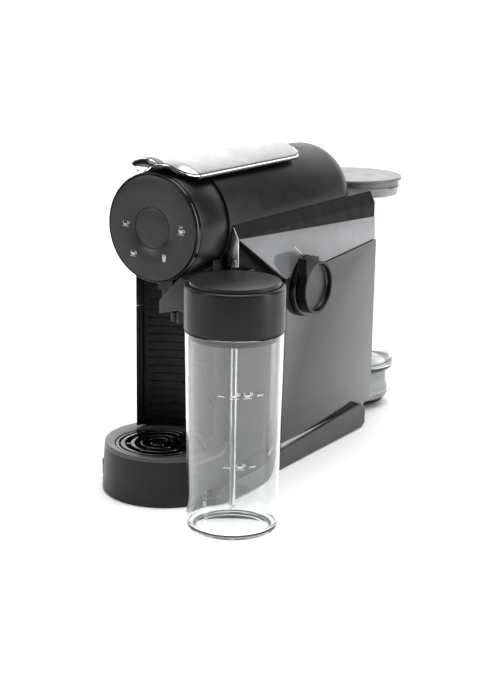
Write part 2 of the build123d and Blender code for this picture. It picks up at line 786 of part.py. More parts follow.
GRILLE_RINGS = [(34.4, 31.6), (30.2, 26.6), (22.0, 18.0), (14.0, 11.4), (6.2, 0)]
with BuildPart() as drip_grille:
    for outer, inner in GRILLE_RINGS:
        with BuildSketch(level(COVER_LOW + 0.1)):
            with Locations((0, GRILLE_Y)):
                Circle(outer)
                if inner > 0:
                    Circle(inner, mode=Mode.SUBTRACT)
        extrude(amount=TRAY_H - COVER_LOW - 0.4)
    with BuildSketch(level(COVER_LOW + 0.1)):         # spokes below the rings
        with Locations((0, GRILLE_Y)):
            with PolarLocations(0, 6):
                with Locations((GRILLE_R / 2 - 1, 0)):
                    Rectangle(GRILLE_R - 2, 2.2)
    extrude(amount=1.4)
drip_grille.part.label = "drip_grille"
export_step(drip_grille.part, "parts/drip_grille.step")

# --- Dock for the jug: steel strip and steam port -------------------------------------------------------
with BuildPart() as steel_strip:
    with BuildSketch(facing(BODY_FRONT)):
        with BuildLine():
            Polyline(
                (39.5, 182),
                (39.5, 206.5),
                (43.6, 213),
                (45.2, 213),
                (49.8, 203.8),
                (49.8, 182),
                close=True,
            )
        make_face()
        with Locations((0, HEAD_Z)):
            Circle(TUBE_R + 0.3, mode=Mode.SUBTRACT)
    extrude(amount=1.4)
steel_strip.part.label = "steel_strip"
export_step(steel_strip.part, "parts/steel_strip.step")

PORT_AT = (45.5, 54.0)
PORT_Z = 168.0
PORT_RUN = hypot(PORT_AT[0] - JUG_X, PORT_AT[1] - JUG_Y)
INLET_END = 52.0          # distance of the lid's inlet face from the jug's axis

with BuildPart() as steam_port:
    with BuildSketch(level(PORT_Z - 9)):
        with Locations((NECK_HALF + 3.5, 57)):
            Rectangle(7, 20)
    extrude(amount=18)
    port_plane = jug_radial(*PORT_AT)
    nozzle_start = port_plane.origin + port_plane.x_dir * (INLET_END + 0.5) + Vector(0, 0, PORT_Z)
    with BuildSketch(Plane(nozzle_start, x_dir=(0, 0, 1), z_dir=port_plane.x_dir)):
        Circle(4)
    extrude(amount=PORT_RUN - INLET_END - 3)
    with BuildSketch(Plane(nozzle_start, x_dir=(0, 0, 1), z_dir=port_plane.x_dir)):
        Circle(1.6)
    extrude(amount=12, mode=Mode.SUBTRACT)
steam_port.part.label = "steam_port"
export_step(steam_port.part, "parts/steam_port.step")

# --- Milk jug and its lid -------------------------------------------------------------------------------
GLASS_T = 3.0
GLASS_FLOOR = 4.5
with BuildPart() as milk_jug:
    with BuildSketch(jug_side()):
        with BuildLine():
            Polyline(
                (0, 1.2),
                (27.5, 1.2),
                (28.5, 0),
                (JUG_R_LOW - 1.5, 0),
                (JUG_R_LOW, 1.5),
                (JUG_R_TOP, JUG_H),
                (JUG_R_TOP - GLASS_T, JUG_H),
                (JUG_R_LOW - GLASS_T, GLASS_FLOOR + 4),
                (JUG_R_LOW - GLASS_T - 4, GLASS_FLOOR),
                (0, GLASS_FLOOR),
                close=True,
            )
        make_face()
    revolve(axis=JUG_AXIS)
milk_jug.part.label = "milk_jug"
export_step(milk_jug.part, "parts/milk_jug.step")

MOUTH_R = JUG_R_TOP - GLASS_T
LID_SHOULDER = 186.0
with BuildPart() as milk_lid:
    with BuildSketch(jug_side()):
        with BuildLine():
            Polyline(
                (0, LID_LOW + 3),
                (MOUTH_R - 3, LID_LOW + 3),
                (MOUTH_R - 3, LID_LOW),
                (LID_R, LID_LOW),
                (LID_R, LID_SHOULDER - 1.5),
                (LID_R - 1.5, LID_SHOULDER),
                (LID_R - 3.2, LID_SHOULDER),
                (LID_R - 3.2, LID_SHOULDER - 1),
                (LID_R - 5.5, LID_SHOULDER - 1),
                (LID_R - 5.5, LID_LOW + 8),
                (0, LID_LOW + 8),
                close=True,
            )
        make_face()
    revolve(axis=JUG_AXIS)
    with BuildSketch(jug_plane(LID_LOW)):             # the suction tube passes through
        Circle(2.35)
    extrude(amount=12, mode=Mode.SUBTRACT)
milk_lid.part.label = "milk_lid"
export_step(milk_lid.part, "parts/milk_lid.step")

with BuildPart() as lid_top:
    with BuildSketch(jug_plane(LID_SHOULDER - 1)):
        Circle(LID_R - 3.4)
    extrude(amount=LID_TOP - LID_SHOULDER + 1)
    fillet(lid_top.faces().sort_by(Axis.Z)[-1].edges(), radius=1.0)
lid_top.part.label = "lid_top"
export_step(lid_top.part, "parts/lid_top.step")

with BuildPart() as jug_seal:
    with BuildSketch(jug_plane(LID_LOW - 6)):
        Circle(MOUTH_R - 0.5)
        Circle(MOUTH_R - 4.5, mode=Mode.SUBTRACT)
    extrude(amount=6)
jug_seal.part.label = "jug_seal"
export_step(jug_seal.part, "parts/jug_seal.step")

with BuildPart() as suction_tube:
    with BuildSketch(jug_plane(12.5)):
        Circle(2.3)
        Circle(1.4, mode=Mode.SUBTRACT)
    extrude(amount=LID_LOW + 7.5 - 12.5)
suction_tube.part.label = "suction_tube"
export_step(suction_tube.part, "parts/suction_tube.step")

SPOUT_TO = (10.0, 4.0)
SPOUT_HALF = 7.0
SPOUT_END = hypot(SPOUT_TO[0] - JUG_X, SPOUT_TO[1] - JUG_Y)
with BuildPart() as milk_spout:
    with BuildSketch(jug_radial(*SPOUT_TO).offset(-SPOUT_HALF)):
        with BuildLine():
            Polyline(
                (LID_R + 0.05, 155),
                (LID_R + 0.05, 182),
                (57, 182),
                (SPOUT_END, 158.6),
                (SPOUT_END, 148.4),
                (60, 155),
                close=True,
            )
        make_face()
    extrude(amount=2 * SPOUT_HALF)
milk_spout.part.label = "milk_spout"
export_step(milk_spout.part, "parts/milk_spout.step")

with BuildPart() as spout_nozzles:
    spout_plane = jug_radial(*SPOUT_TO)
    for reach in (64.5, 71.5):
        top = 155 - (reach - 60) * (155 - 148.4) / (SPOUT_END - 60)
        place = spout_plane.origin + spout_plane.x_dir * reach + Vector(0, 0, 143.6)
        with BuildSketch(Plane(place)):
            Circle(2.8)
            Circle(1.6, mode=Mode.SUBTRACT)
        extrude(amount=top - 143.6 - 1.0)
spout_nozzles.part.label = "spout_nozzles"
export_step(spout_nozzles.part, "parts/spout_nozzles.step")

with BuildPart() as lid_inlet:
    inlet_plane = jug_radial(*PORT_AT)
    inlet_start = inlet_plane.origin + inlet_plane.x_dir * (LID_R - 0.6) + Vector(0, 0, PORT_Z)
    with BuildSketch(Plane(inlet_start, x_dir=(0, 0, 1), z_dir=inlet_plane.x_dir)):
        Circle(7)
    extrude(amount=INLET_END - LID_R + 0.6)
    with BuildSketch(jug_plane(PORT_Z - 10)):
        Circle(LID_R + 0.02)
    extrude(amount=20, mode=Mode.SUBTRACT)
    inlet_mouth = inlet_plane.origin + inlet_plane.x_dir * (INLET_END - 8) + Vector(0, 0, PORT_Z)
    with BuildSketch(Plane(inlet_mouth, x_dir=(0, 0, 1), z_dir=inlet_plane.x_dir)):
        Circle(2)
    extrude(amount=10, mode=Mode.SUBTRACT)
lid_inlet.part.label = "lid_inlet"
export_step(lid_inlet.part, "parts/lid_inlet.step")

# --- Milk knob --------------------------------------------------------------------------------------------
SHAFT_R = 4.0
with BuildPart() as knob_collar:
    with BuildSketch(across(BODY_HALF)):
        with Locations((KNOB_Y, KNOB_Z)):
            Circle(KNOB_BASE_R)
            Circle(SHAFT_R + 1, mode=Mode.SUBTRACT)
    extrude(amount=7.8)
    fillet(knob_collar.faces().sort_by(Axis.X)[-1].edges().sort_by(SortBy.LENGTH)[-1], radius=1.2)
knob_collar.part.label = "knob_collar"
export_step(knob_collar.part, "parts/knob_collar.step")

KNOB_BACK = BODY_HALF + 8.2
KNOB_FRONT = 66.0
FACE_DEPTH = 5.0
with BuildPart() as milk_knob:
    with BuildSketch(across(KNOB_BACK)):
        with Locations((KNOB_Y, KNOB_Z)):
            Circle(KNOB_R)
        with BuildLine():                             # pointer, blunt and leaning to the front
            Polyline(
                (KNOB_Y - 1, KNOB_Z + 10),
                (KNOB_Y - 1, KNOB_Z + KNOB_R + 4.2),
                (KNOB_Y - 21.5, KNOB_Z + 27),
                (KNOB_Y - 19.5, KNOB_Z + 12),
                close=True,
            )
        make_face()
    extrude(amount=KNOB_FRONT - KNOB_BACK)
    with BuildSketch(across(KNOB_FRONT)):
        with Locations((KNOB_Y, KNOB_Z)):
            Circle(KNOB_R - 2.2)
    extrude(amount=-FACE_DEPTH, mode=Mode.SUBTRACT)
milk_knob.part.label = "milk_knob"
export_step(milk_knob.part, "parts/milk_knob.step")

with BuildPart() as knob_face:
    with BuildSketch(across(KNOB_FRONT - FACE_DEPTH)):
        with Locations((KNOB_Y, KNOB_Z)):
            Circle(KNOB_R - 2.25)
    extrude(amount=0.8)
knob_face.part.label = "knob_face"
export_step(knob_face.part, "parts/knob_face.step")

with BuildPart() as knob_shaft:
    with BuildSketch(across(28)):
        with Locations((KNOB_Y, KNOB_Z)):
            Circle(SHAFT_R)
    extrude(amount=KNOB_BACK - 28)
knob_shaft.part.label = "knob_shaft"
export_step(knob_shaft.part, "parts/knob_shaft.step")

with BuildPart() as milk_valve:
    with BuildSketch(across(22)):
        with Locations((KNOB_Y, KNOB_Z)):
            Rectangle(30, 20)
    extrude(amount=24)
    with BuildSketch(across(27.5)):
        with Locations((KNOB_Y, KNOB_Z)):
            Circle(SHAFT_R + 0.05)
    extrude(amount=20, mode=Mode.SUBTRACT)
milk_valve.part.label = "milk_valve"
export_step(milk_valve.part, "parts/milk_valve.step")

# --- Water tank ------------------------------------------------------------------------------------------
TANK_T = 2.4
DOCK_R = 40.0
DOCK_LOW = 9.0
DOCK_TOP = 36.0
VALVE_R = 7.0

with BuildPart() as water_tank:
    with BuildSketch(tank_side()):
        with BuildLine():
            Polyline(
                (VALVE_R + 0.1, TANK_FLOOR - TANK_T),
                (TANK_R - TANK_T - 1, TANK_FLOOR - TANK_T),
                (TANK_R - TANK_T - 1, TANK_LOW),
                (TANK_R - 1, TANK_LOW),
                (TANK_R, TANK_TOP),
                (TANK_R - TANK_T, TANK_TOP),
                (TANK_R - TANK_T - 0.8, TANK_FLOOR + 6),
                (TANK_R - TANK_T - 6.8, TANK_FLOOR),
                (VALVE_R + 0.1, TANK_FLOOR),
                close=True,
            )
        make_face()
    revolve(axis=TANK_AXIS)
water_tank.part.label = "water_tank"
export_step(water_tank.part, "parts/water_tank.step")

PLUG_R = TANK_R - TANK_T - 0.4
with BuildPart() as tank_plug:
    with BuildSketch(level(TANK_TOP - 8)):
        with Locations((0, TANK_Y)):
            Circle(PLUG_R)
            Circle(PLUG_R - 2.5, mode=Mode.SUBTRACT)
    extrude(amount=TANK_LID_TOP - 3.2 - TANK_TOP + 8)
tank_plug.part.label = "tank_plug"
export_step(tank_plug.part, "parts/tank_plug.step")

with BuildPart() as tank_lid:
    with BuildSketch(level(TANK_LID_TOP - 3.2)):
        with Locations((0, TANK_Y)):
            Circle(TANK_LID_R)
    extrude(amount=3.2)
    fillet(tank_lid.faces().sort_by(Axis.Z)[-1].edges(), radius=0.8)
tank_lid.part.label = "tank_lid"
export_step(tank_lid.part, "parts/tank_lid.step")

with BuildPart() as tank_valve:
    with BuildSketch(level(TANK_FLOOR - 3.4)):
        with Locations((0, TANK_Y)):
            Circle(4)
    extrude(amount=3.8)
    with BuildSketch(level(TANK_FLOOR + 0.4)):
        with Locations((0, TANK_Y)):
            Circle(VALVE_R + 3)
    extrude(amount=2)
tank_valve.part.label = "tank_valve"
export_step(tank_valve.part, "parts/tank_valve.step")

with BuildPart() as tank_bracket:
    with BuildSketch(level(FOOT_H + 3.1)):
        with Locations((0, TANK_Y)):
            Circle(36)
        with Locations((0, 282)):
            Rectangle(60, 59.8)
    extrude(amount=DOCK_LOW - FOOT_H - 3.1)
tank_bracket.part.label = "tank_bracket"
export_step(tank_bracket.part, "parts/tank_bracket.step")

with BuildPart() as tank_dock:
    with BuildSketch(level(DOCK_LOW)):
        with Locations((0, TANK_Y)):
            Circle(DOCK_R)
    extrude(amount=DOCK_TOP - DOCK_LOW)
    with BuildSketch(level(DOCK_TOP - 14)):
        with Locations((0, TANK_Y)):
            Circle(VALVE_R)
    extrude(amount=20, mode=Mode.SUBTRACT)
tank_dock.part.label = "tank_dock"
export_step(tank_dock.part, "parts/tank_dock.step")

# --- Works inside the casing --------------------------------------------------------------------------------
with BuildPart() as inner_chassis:
    with BuildSketch(level(BODY_LOW + 0.5)):
        with Locations((0, 184)):
            Rectangle(90, 144)
    extrude(amount=2.5)
    with BuildSketch(facing(115)):                    # bulkhead behind the capsule bin
        with Locations((0, 95)):
            Rectangle(78, 142)
    extrude(amount=3)
inner_chassis.part.label = "inner_chassis"
export_step(inner_chassis.part, "parts/inner_chassis.step")

PUMP_X, PUMP_Z = -18, 46
with BuildPart() as pump:
    with BuildSketch(facing(230)):
        with Locations((PUMP_X, PUMP_Z)):
            Circle(16)
    extrude(amount=50)
    with BuildSketch(facing(180)):
        with Locations((PUMP_X, PUMP_Z)):
            Circle(9)
    extrude(amount=18)
    with BuildSketch(facing(242)):
        with Locations((PUMP_X, PUMP_Z)):
            Circle(4)
    extrude(amount=12)
pump.part.label = "pump"
export_step(pump.part, "parts/pump.step")

with BuildPart() as pump_mounts:
    for depth in (176, 226):
        with BuildSketch(facing(depth)):
            with Locations((PUMP_X, PUMP_Z)):
                Rectangle(36, 42)
                Circle(16.05 if depth > 200 else 9.05, mode=Mode.SUBTRACT)
        extrude(amount=5)
pump_mounts.part.label = "pump_mounts"
export_step(pump_mounts.part, "parts/pump_mounts.step")

with BuildPart() as thermoblock:
    with BuildSketch(level(BODY_LOW + 3)):
        with Locations((20, 170)):
            RectangleRounded(34, 70, 4)
    extrude(amount=46)
    with BuildSketch(level(BODY_LOW + 49)):
        with Locations((12, 148), (28, 148)):
            Circle(3.5)
    extrude(amount=10)
thermoblock.part.label = "thermoblock"
export_step(thermoblock.part, "parts/thermoblock.step")

with BuildPart() as steam_hose:
    with BuildSketch(level(BODY_LOW + 59)):
        with Locations((28, 148)):
            Circle(3)
    extrude(amount=KNOB_Z - 10 - BODY_LOW - 59)
steam_hose.part.label = "steam_hose"
export_step(steam_hose.part, "parts/steam_hose.step")

with BuildPart() as water_hose:
    with BuildSketch(level(BODY_LOW + 59)):
        with Locations((12, 148)):
            Circle(3)
    extrude(amount=88)
water_hose.part.label = "water_hose"
export_step(water_hose.part, "parts/water_hose.step")

with BuildPart() as power_board:
    with BuildSketch(across(-46)):
        with Locations((190, 130)):
            Rectangle(100, 60)
    extrude(amount=1.6)
    with BuildSketch(across(-44.4)):
        with Locations((165, 120), (200, 145), (215, 115)):
            Rectangle(16, 22)
    extrude(amount=12)
power_board.part.label = "power_board"
export_step(power_board.part, "parts/power_board.step")
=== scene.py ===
# %% [markdown]
# # A pod coffee machine with a milk jug
# The machine's structure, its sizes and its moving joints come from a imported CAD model, which is loaded
# first and never changed. This lesson gives the machine its looks: finer outer pieces, materials, light
# and a camera. The load call brings every CAD node in at its own place, in metres, so that each new piece
# can be put exactly where the CAD node is that it stands for.

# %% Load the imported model
import math

import bpy
from mathutils import Matrix, Quaternion, Vector


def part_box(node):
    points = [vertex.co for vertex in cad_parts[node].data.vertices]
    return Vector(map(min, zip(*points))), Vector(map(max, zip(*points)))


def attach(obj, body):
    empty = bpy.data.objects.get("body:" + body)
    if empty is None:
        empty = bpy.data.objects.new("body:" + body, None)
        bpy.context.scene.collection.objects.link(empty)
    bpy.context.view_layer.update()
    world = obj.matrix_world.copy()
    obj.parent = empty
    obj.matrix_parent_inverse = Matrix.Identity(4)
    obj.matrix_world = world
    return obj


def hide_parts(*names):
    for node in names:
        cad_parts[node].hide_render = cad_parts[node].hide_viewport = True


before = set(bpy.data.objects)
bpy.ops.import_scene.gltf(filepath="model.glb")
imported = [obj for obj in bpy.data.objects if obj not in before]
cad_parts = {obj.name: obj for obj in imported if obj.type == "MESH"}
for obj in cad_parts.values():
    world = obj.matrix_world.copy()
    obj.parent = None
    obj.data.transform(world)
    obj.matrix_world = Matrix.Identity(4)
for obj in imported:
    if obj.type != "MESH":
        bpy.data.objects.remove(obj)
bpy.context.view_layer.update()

# %% [markdown]
# Sizes on a small appliance are easiest to think of in millimetres, measured from the head: across from
# the head's axis, back from the face of the control disc and up from the table. The helper at() turns
# such a place into Blender's metres. The reference points themselves are read from the CAD nodes' boxes;
# the disc's face stands a little in front of its bezel. The camera's azimuth is here too, because printed
# marks turn towards it.

# %% Places and directions
MM = 0.001
MERGE_WITHIN = MM * 0.002
DISC_PROUD = 0.4
VIEW_AZIMUTH = math.radians(32.95)
RIGHT, BACK, UP = Vector((1, 0, 0)), Vector((0, 1, 0)), Vector((0, 0, 1))
FRONT = -BACK


def middle(node):
    """Centre of a CAD node's box."""
    low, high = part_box(node)
    return (low + high) / 2


HEAD = middle("disc_bezel")
FACE_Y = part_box("disc_bezel")[0].y - DISC_PROUD * MM
HEAD_Z = HEAD.z / MM
JUG = middle("milk_jug")
TANK = middle("water_tank")


def at(across, depth, height):
    """A place in metres, from millimetres measured at the head."""
    return Vector((HEAD.x + across * MM, FACE_Y + depth * MM, height * MM))


print("head axis at", round(HEAD.x, 4), round(HEAD.z, 4))

# %% [markdown]
# Many pieces of this machine are turned shapes: the head, the jug, the knob, the tank. By hand such a
# piece starts from one vertex that is extruded along half of its outline and then spun round an axis.
# Flat pieces start the same way, but their outline is filled and extruded instead. These helpers do both
# in edit mode.

# %% Outline, lathe and plate
def draw_outline(points):
    """One vertex extruded from point to point, in millimetres. It stays in edit mode."""
    bpy.ops.object.select_all(action="DESELECT")
    bpy.ops.mesh.primitive_plane_add(size=MM, location=(0, 0, 0))
    piece = bpy.context.object
    bpy.ops.object.mode_set(mode="EDIT")
    bpy.ops.mesh.select_mode(type="VERT")
    bpy.ops.mesh.merge(type="CENTER")
    bpy.ops.transform.translate(value=Vector(points[0]) * MM)
    for here, there in zip(points, points[1:]):
        step = (Vector(there) - Vector(here)) * MM
        bpy.ops.mesh.extrude_vertices_move(TRANSFORM_OT_translate={"value": step})
    return piece


def close_mesh(piece, name):
    """Merges doubles, turns the faces outwards and leaves edit mode."""
    bpy.ops.mesh.select_all(action="SELECT")
    bpy.ops.mesh.remove_doubles(threshold=MERGE_WITHIN)
    bpy.ops.mesh.normals_make_consistent(inside=False)
    bpy.ops.object.mode_set(mode="OBJECT")
    piece.name = name
    piece.data.name = name
    return piece


def lathe(name, outline, steps=128):
    """Spins an outline of (radius, height) round the upright axis."""
    piece = draw_outline([(radius, 0, height) for radius, height in outline])
    bpy.ops.mesh.select_all(action="SELECT")
    bpy.ops.mesh.spin(steps=steps, angle=math.tau, center=(0, 0, 0), axis=(0, 0, 1))
    return close_mesh(piece, name)


def drum(name, radius, low, high, steps=128):
    """A plain cylinder, used as a cutter."""
    return lathe(name, [(0, low), (radius, low), (radius, high), (0, high)], steps)


def rectangle(left, low, right, high):
    """A closed outline with four corners."""
    return [(left, low), (right, low), (right, high), (left, high), (left, low)]


def plate(name, outline, thickness):
    """Fills a flat outline of (x, y) and extrudes it upwards."""
    piece = draw_outline([(x, y, 0) for x, y in outline])
    bpy.ops.mesh.select_all(action="SELECT")
    bpy.ops.mesh.edge_face_add()
    bpy.ops.mesh.extrude_region_move(TRANSFORM_OT_translate={"value": (0, 0, thickness * MM)})
    return close_mesh(piece, name)


def only(piece):
    """Selects one object alone and makes it the active one."""
    bpy.ops.object.select_all(action="DESELECT")
    piece.select_set(True)
    bpy.context.view_layer.objects.active = piece


def edit_all(piece):
    """Opens one object in edit mode with all of its mesh selected."""
    only(piece)
    bpy.ops.object.mode_set(mode="EDIT")
    bpy.ops.mesh.select_all(action="SELECT")


def place(piece, where, top=UP, side=None):
    """Turns the piece's Z to top and its X to side, moves it, and keeps that in its mesh."""
    top = Vector(top).normalized()
    if side is None:
        side = RIGHT if abs(top.x) < 0.9 else BACK
    side = (Vector(side) - Vector(side).dot(top) * top).normalized()
    turn = Matrix((side, top.cross(side), top)).transposed().to_4x4()
    piece.matrix_world = Matrix.Translation(where) @ turn
    only(piece)
    bpy.ops.object.transform_apply(location=True, rotation=True, scale=True)
    return piece


print("helpers for outlines, lathes and plates are ready")

# %% [markdown]
# Moulded and stamped pieces never have knife-sharp edges. A small rounded edge catches the light as a
# thin bright line and tells the eye how the piece was made. Two more helpers apply modifiers as by hand,
# and give a finished piece its rounded edges, its shading, its material and the CAD body that it moves
# with.

# %% Modifiers and the finish of a piece
def modify(piece, kind, **settings):
    """Adds a modifier with its settings and applies it."""
    only(piece)
    made = piece.modifiers.new(kind.lower(), kind)
    for key, value in settings.items():
        setattr(made, key, value)
    bpy.ops.object.modifier_apply(modifier=made.name)
    return piece


def round_edges(piece, width, segments=3, angle=30):
    """Rounds every edge that is sharper than an angle."""
    return modify(
        piece, "BEVEL", width=width * MM, segments=segments,
        limit_method="ANGLE", angle_limit=math.radians(angle), use_clamp_overlap=True,
    )


def cut(piece, cutter):
    """Subtracts another mesh and removes it."""
    modify(piece, "BOOLEAN", operation="DIFFERENCE", solver="EXACT", object=cutter)
    bpy.data.objects.remove(cutter)
    return piece


def join(name, pieces):
    """Joins several meshes into the first one."""
    only(pieces[0])
    for other in pieces[1:]:
        other.select_set(True)
    bpy.ops.object.join()
    pieces[0].name = name
    return pieces[0]


def finish(piece, body, material, stands_for=(), smooth=38):
    """Shades a piece, gives it its material and lets it ride on a CAD body."""
    only(piece)
    bpy.ops.object.shade_smooth_by_angle(angle=math.radians(smooth))
    if not piece.data.materials:
        piece.data.materials.append(material)
    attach(piece, body)
    if stands_for:
        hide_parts(*stands_for)
    print(piece.name, "faces:", len(piece.data.polygons), "rides on", body)
    return piece


# %% [markdown]
# ## Materials
# Colours are written as the hex values that a maker's data sheet would give, and one function turns them
# to the linear values that Blender's shaders need. One more function adds a shader node with its settings
# and links.

# %% Colour and node helpers
NOISE_LOW, NOISE_HIGH = 0.3, 0.7
RAMP_STOPS = (0.35, 0.65)


def colour(hex_code):
    """sRGB hex to linear RGBA."""
    parts = [int(hex_code[i:i + 2], 16) / 255 for i in (1, 3, 5)]
    return [c / 12.92 if c <= 0.04045 else ((c + 0.055) / 1.055) ** 2.4 for c in parts] + [1]


def add(material, kind, settings=None, **inputs):
    """Adds a shader node. Each input is a value or another node's output socket."""
    tree = material.node_tree
    made = tree.nodes.new("ShaderNode" + kind)
    for key, value in (settings or {}).items():
        setattr(made, key, value)
    for name, value in inputs.items():
        socket = made.inputs[name.replace("_", " ")]
        if isinstance(value, bpy.types.NodeSocket):
            tree.links.new(value, socket)
        else:
            socket.default_value = value
    return made


def new_material(name, **surface):
    """A material with a bare principled surface, whose uniform values are set on its own sockets."""
    material = bpy.data.materials.new(name)
    material.use_nodes = True
    shader = material.node_tree.nodes["Principled BSDF"]
    for key, value in surface.items():
        shader.inputs[key.replace("_", " ")].default_value = value
    return material, shader


def per_metre(size):
    """Scale of a noise whose features are this many millimetres wide."""
    return 1 / (size * MM)


def noise(material, coords, scale, detail):
    """The values of a noise texture."""
    return add(material, "TexNoise", Vector=coords, Scale=scale, Detail=detail).outputs["Fac"]


def spread(material, value, low, high):
    """Maps a noise's middle range to low and high."""
    return add(
        material, "MapRange", {"clamp": True}, Value=value,
        From_Min=NOISE_LOW, From_Max=NOISE_HIGH, To_Min=low, To_Max=high,
    ).outputs["Result"]


def two_tone(material, value, dark, light):
    """Colour between two close tones, driven by a noise."""
    made = add(material, "ValToRGB", Fac=value)
    for stop, position, tone in zip(made.color_ramp.elements, RAMP_STOPS, (dark, light)):
        stop.position = position
        stop.color = colour(tone)
    return made.outputs["Color"]


def link(material, output, shader, name):
    """Links an output to one of the shader's sockets."""
    material.node_tree.links.new(output, shader.inputs[name])


def relief(material, height, strength, depth, shader):
    """Fine relief whose depth is given in mm."""
    bump = add(material, "Bump", Height=height, Strength=strength, Distance=depth * MM)
    link(material, bump.outputs["Normal"], shader, "Normal")


print("white is", colour("#ffffff"))

# %% [markdown]
# Most of the machine is ABS, a tough moulded plastic. Where the mould was spark eroded the surface is
# satin: it has a very fine grain and slightly uneven gloss. Where the mould was polished the plastic is
# like a black mirror with a faint waviness. The grain is about 0.4 mm, drawn near 1 mm so that it still
# shows, with very little height. Very slight changes of tone come from flow in the mould, some 30 mm
# wide.

# %% Moulded plastic
FLOW_WIDTH, SMEAR_WIDTH = 30, 12
COAT_ROUGH = 0.04


def moulded(name, dark, light, rough, grain, depth, ior=1.5, coat=0.0, shine=0.5):
    """Moulded plastic. Its grain has a width and a depth in mm; shine below 0.5 is duller."""
    material, shader = new_material(
        name, IOR=ior, Coat_Weight=coat, Coat_Roughness=COAT_ROUGH, Specular_IOR_Level=shine,
    )
    coords = add(material, "TexCoord").outputs["Object"]
    cloud = noise(material, coords, per_metre(FLOW_WIDTH), 2.0)
    grit = noise(material, coords, per_metre(grain), 3.0)
    smear = noise(material, coords, per_metre(SMEAR_WIDTH), 4.0)
    link(material, two_tone(material, cloud, dark, light), shader, "Base Color")
    link(material, spread(material, smear, rough * 0.85, rough * 1.15), shader, "Roughness")
    relief(material, grit, 0.6, depth, shader)
    return material


satin_black = moulded("satin_black_abs", "#0e0e0f", "#131314", 0.32, 1.0, 0.02, shine=0.3)
soft_black = moulded("matt_black_abs", "#0d0d0e", "#121213", 0.36, 1.1, 0.03, shine=0.3)
gloss_black = moulded("polished_black_abs", "#070708", "#0a0a0b", 0.12, 6.0, 0.01)
deep_black = moulded("eroded_black_abs", "#070707", "#0a0a0a", 0.55, 1.2, 0.04, shine=0.15)
panel_grey = moulded("polished_dark_grey_abs", "#1f2021", "#242526", 0.1, 9.0, 0.006, coat=0.3)
# Painted light: a copy of the panels' dark polished plastic, painted lighter grey for the light that falls
# on the wedge's upward face.
wedge_painted_lit_grey = moulded("polished_grey_abs_painted_lit", "#6c6e70", "#747678", 0.14, 9.0, 0.006, coat=0.3)
skirt_grey = moulded("eroded_grey_abs", "#323334", "#38393a", 0.42, 1.1, 0.03)
deck_grey = moulded("satin_dark_grey_abs", "#3c3d3e", "#424344", 0.36, 1.0, 0.02)
trim_grey = moulded("satin_light_grey_abs", "#b4b5b6", "#bcbdbe", 0.36, 1.0, 0.02)
disc_face = moulded("hard_coated_acrylic", "#17181a", "#1a1b1d", 0.26, 1.6, 0.005, ior=1.49, shine=0.4)
lid_grey = moulded("satin_grey_abs", "#5c5d5e", "#646566", 0.34, 1.0, 0.02)
dock_grey = moulded("eroded_mid_grey_pp", "#77787a", "#818284", 0.42, 1.1, 0.03, ior=1.49)
rib_black = moulded("ribbed_black_abs", "#080809", "#0b0b0c", 0.4, 1.0, 0.02, shine=0.18)
chassis_plastic = moulded("black_pa_glass_filled", "#2a2a2a", "#343434", 0.55, 0.9, 0.05, ior=1.53)
rubber_black = moulded("black_silicone_rubber", "#161616", "#1e1e1e", 0.6, 1.4, 0.05, ior=1.42)
print("plastics made:", len(bpy.data.materials))

# %% [markdown]
# Metals come next. The lever's skin is satin chrome, while its rim is polished bright like a mirror, and
# the strip beside the column is stainless steel brushed upright. A brushed finish is a noise stretched
# along the brushing direction: lines about 0.3 mm wide, drawn at 0.8 mm, and tens of millimetres long.

# %% Metals
TARNISH_WIDTH = 25


def metal(name, dark, light, rough, stretch, depth, anisotropic=0.0):
    """Metal whose marks are stretched by the given sizes in mm along x, y and z."""
    material, shader = new_material(name, Metallic=1.0, Anisotropic=anisotropic)
    coords = add(material, "TexCoord").outputs["Object"]
    scaled = add(material, "Mapping", Vector=coords, Scale=[per_metre(s) for s in stretch])
    marks = noise(material, scaled.outputs["Vector"], 1.0, 3.0)
    cloud = noise(material, coords, per_metre(TARNISH_WIDTH), 2.0)
    link(material, two_tone(material, marks, dark, light), shader, "Base Color")
    link(material, spread(material, cloud, rough * 0.85, rough * 1.2), shader, "Roughness")
    relief(material, marks, 0.5, depth, shader)
    return material


satin_chrome = metal("satin_chrome_plate", "#9fa0a2", "#a7a8a9", 0.3, (9, 14, 14), 0.002)
chrome_plate = metal("bright_chrome_plate", "#e4e6e8", "#eef0f1", 0.05, (8, 8, 8), 0.002)
brushed_steel = metal("brushed_stainless_steel", "#b4b5b7", "#cfd0d1", 0.32, (0.8, 0.8, 25), 0.01, 0.5)
knob_metal = metal("dark_anodised_aluminium", "#4a4b4d", "#57585a", 0.34, (30, 0.8, 0.8), 0.006)
aluminium_cast = metal("cast_aluminium", "#a0a1a3", "#b4b5b6", 0.45, (1.5, 1.5, 1.5), 0.05)
print("materials so far:", len(bpy.data.materials))

# %% [markdown]
# The jug and the tank are clear plastic: a copolyester for the jug, styrene acrylonitrile for the tank.
# Both are poured clear with a very faint tint, have an index of refraction between 1.5 and 1.57, and
# carry faint unevenness from moulding that bends the light near the edges. Clear walls let the lamps'
# light straight through, so that what stands behind them is not in shadow. The tubes are clear
# polypropylene, a bit hazy.

# %% Clear plastics and small materials
WAVE_WIDTH, HAZE_WIDTH = 22, 9
UNTINTED = "#fdfefe"


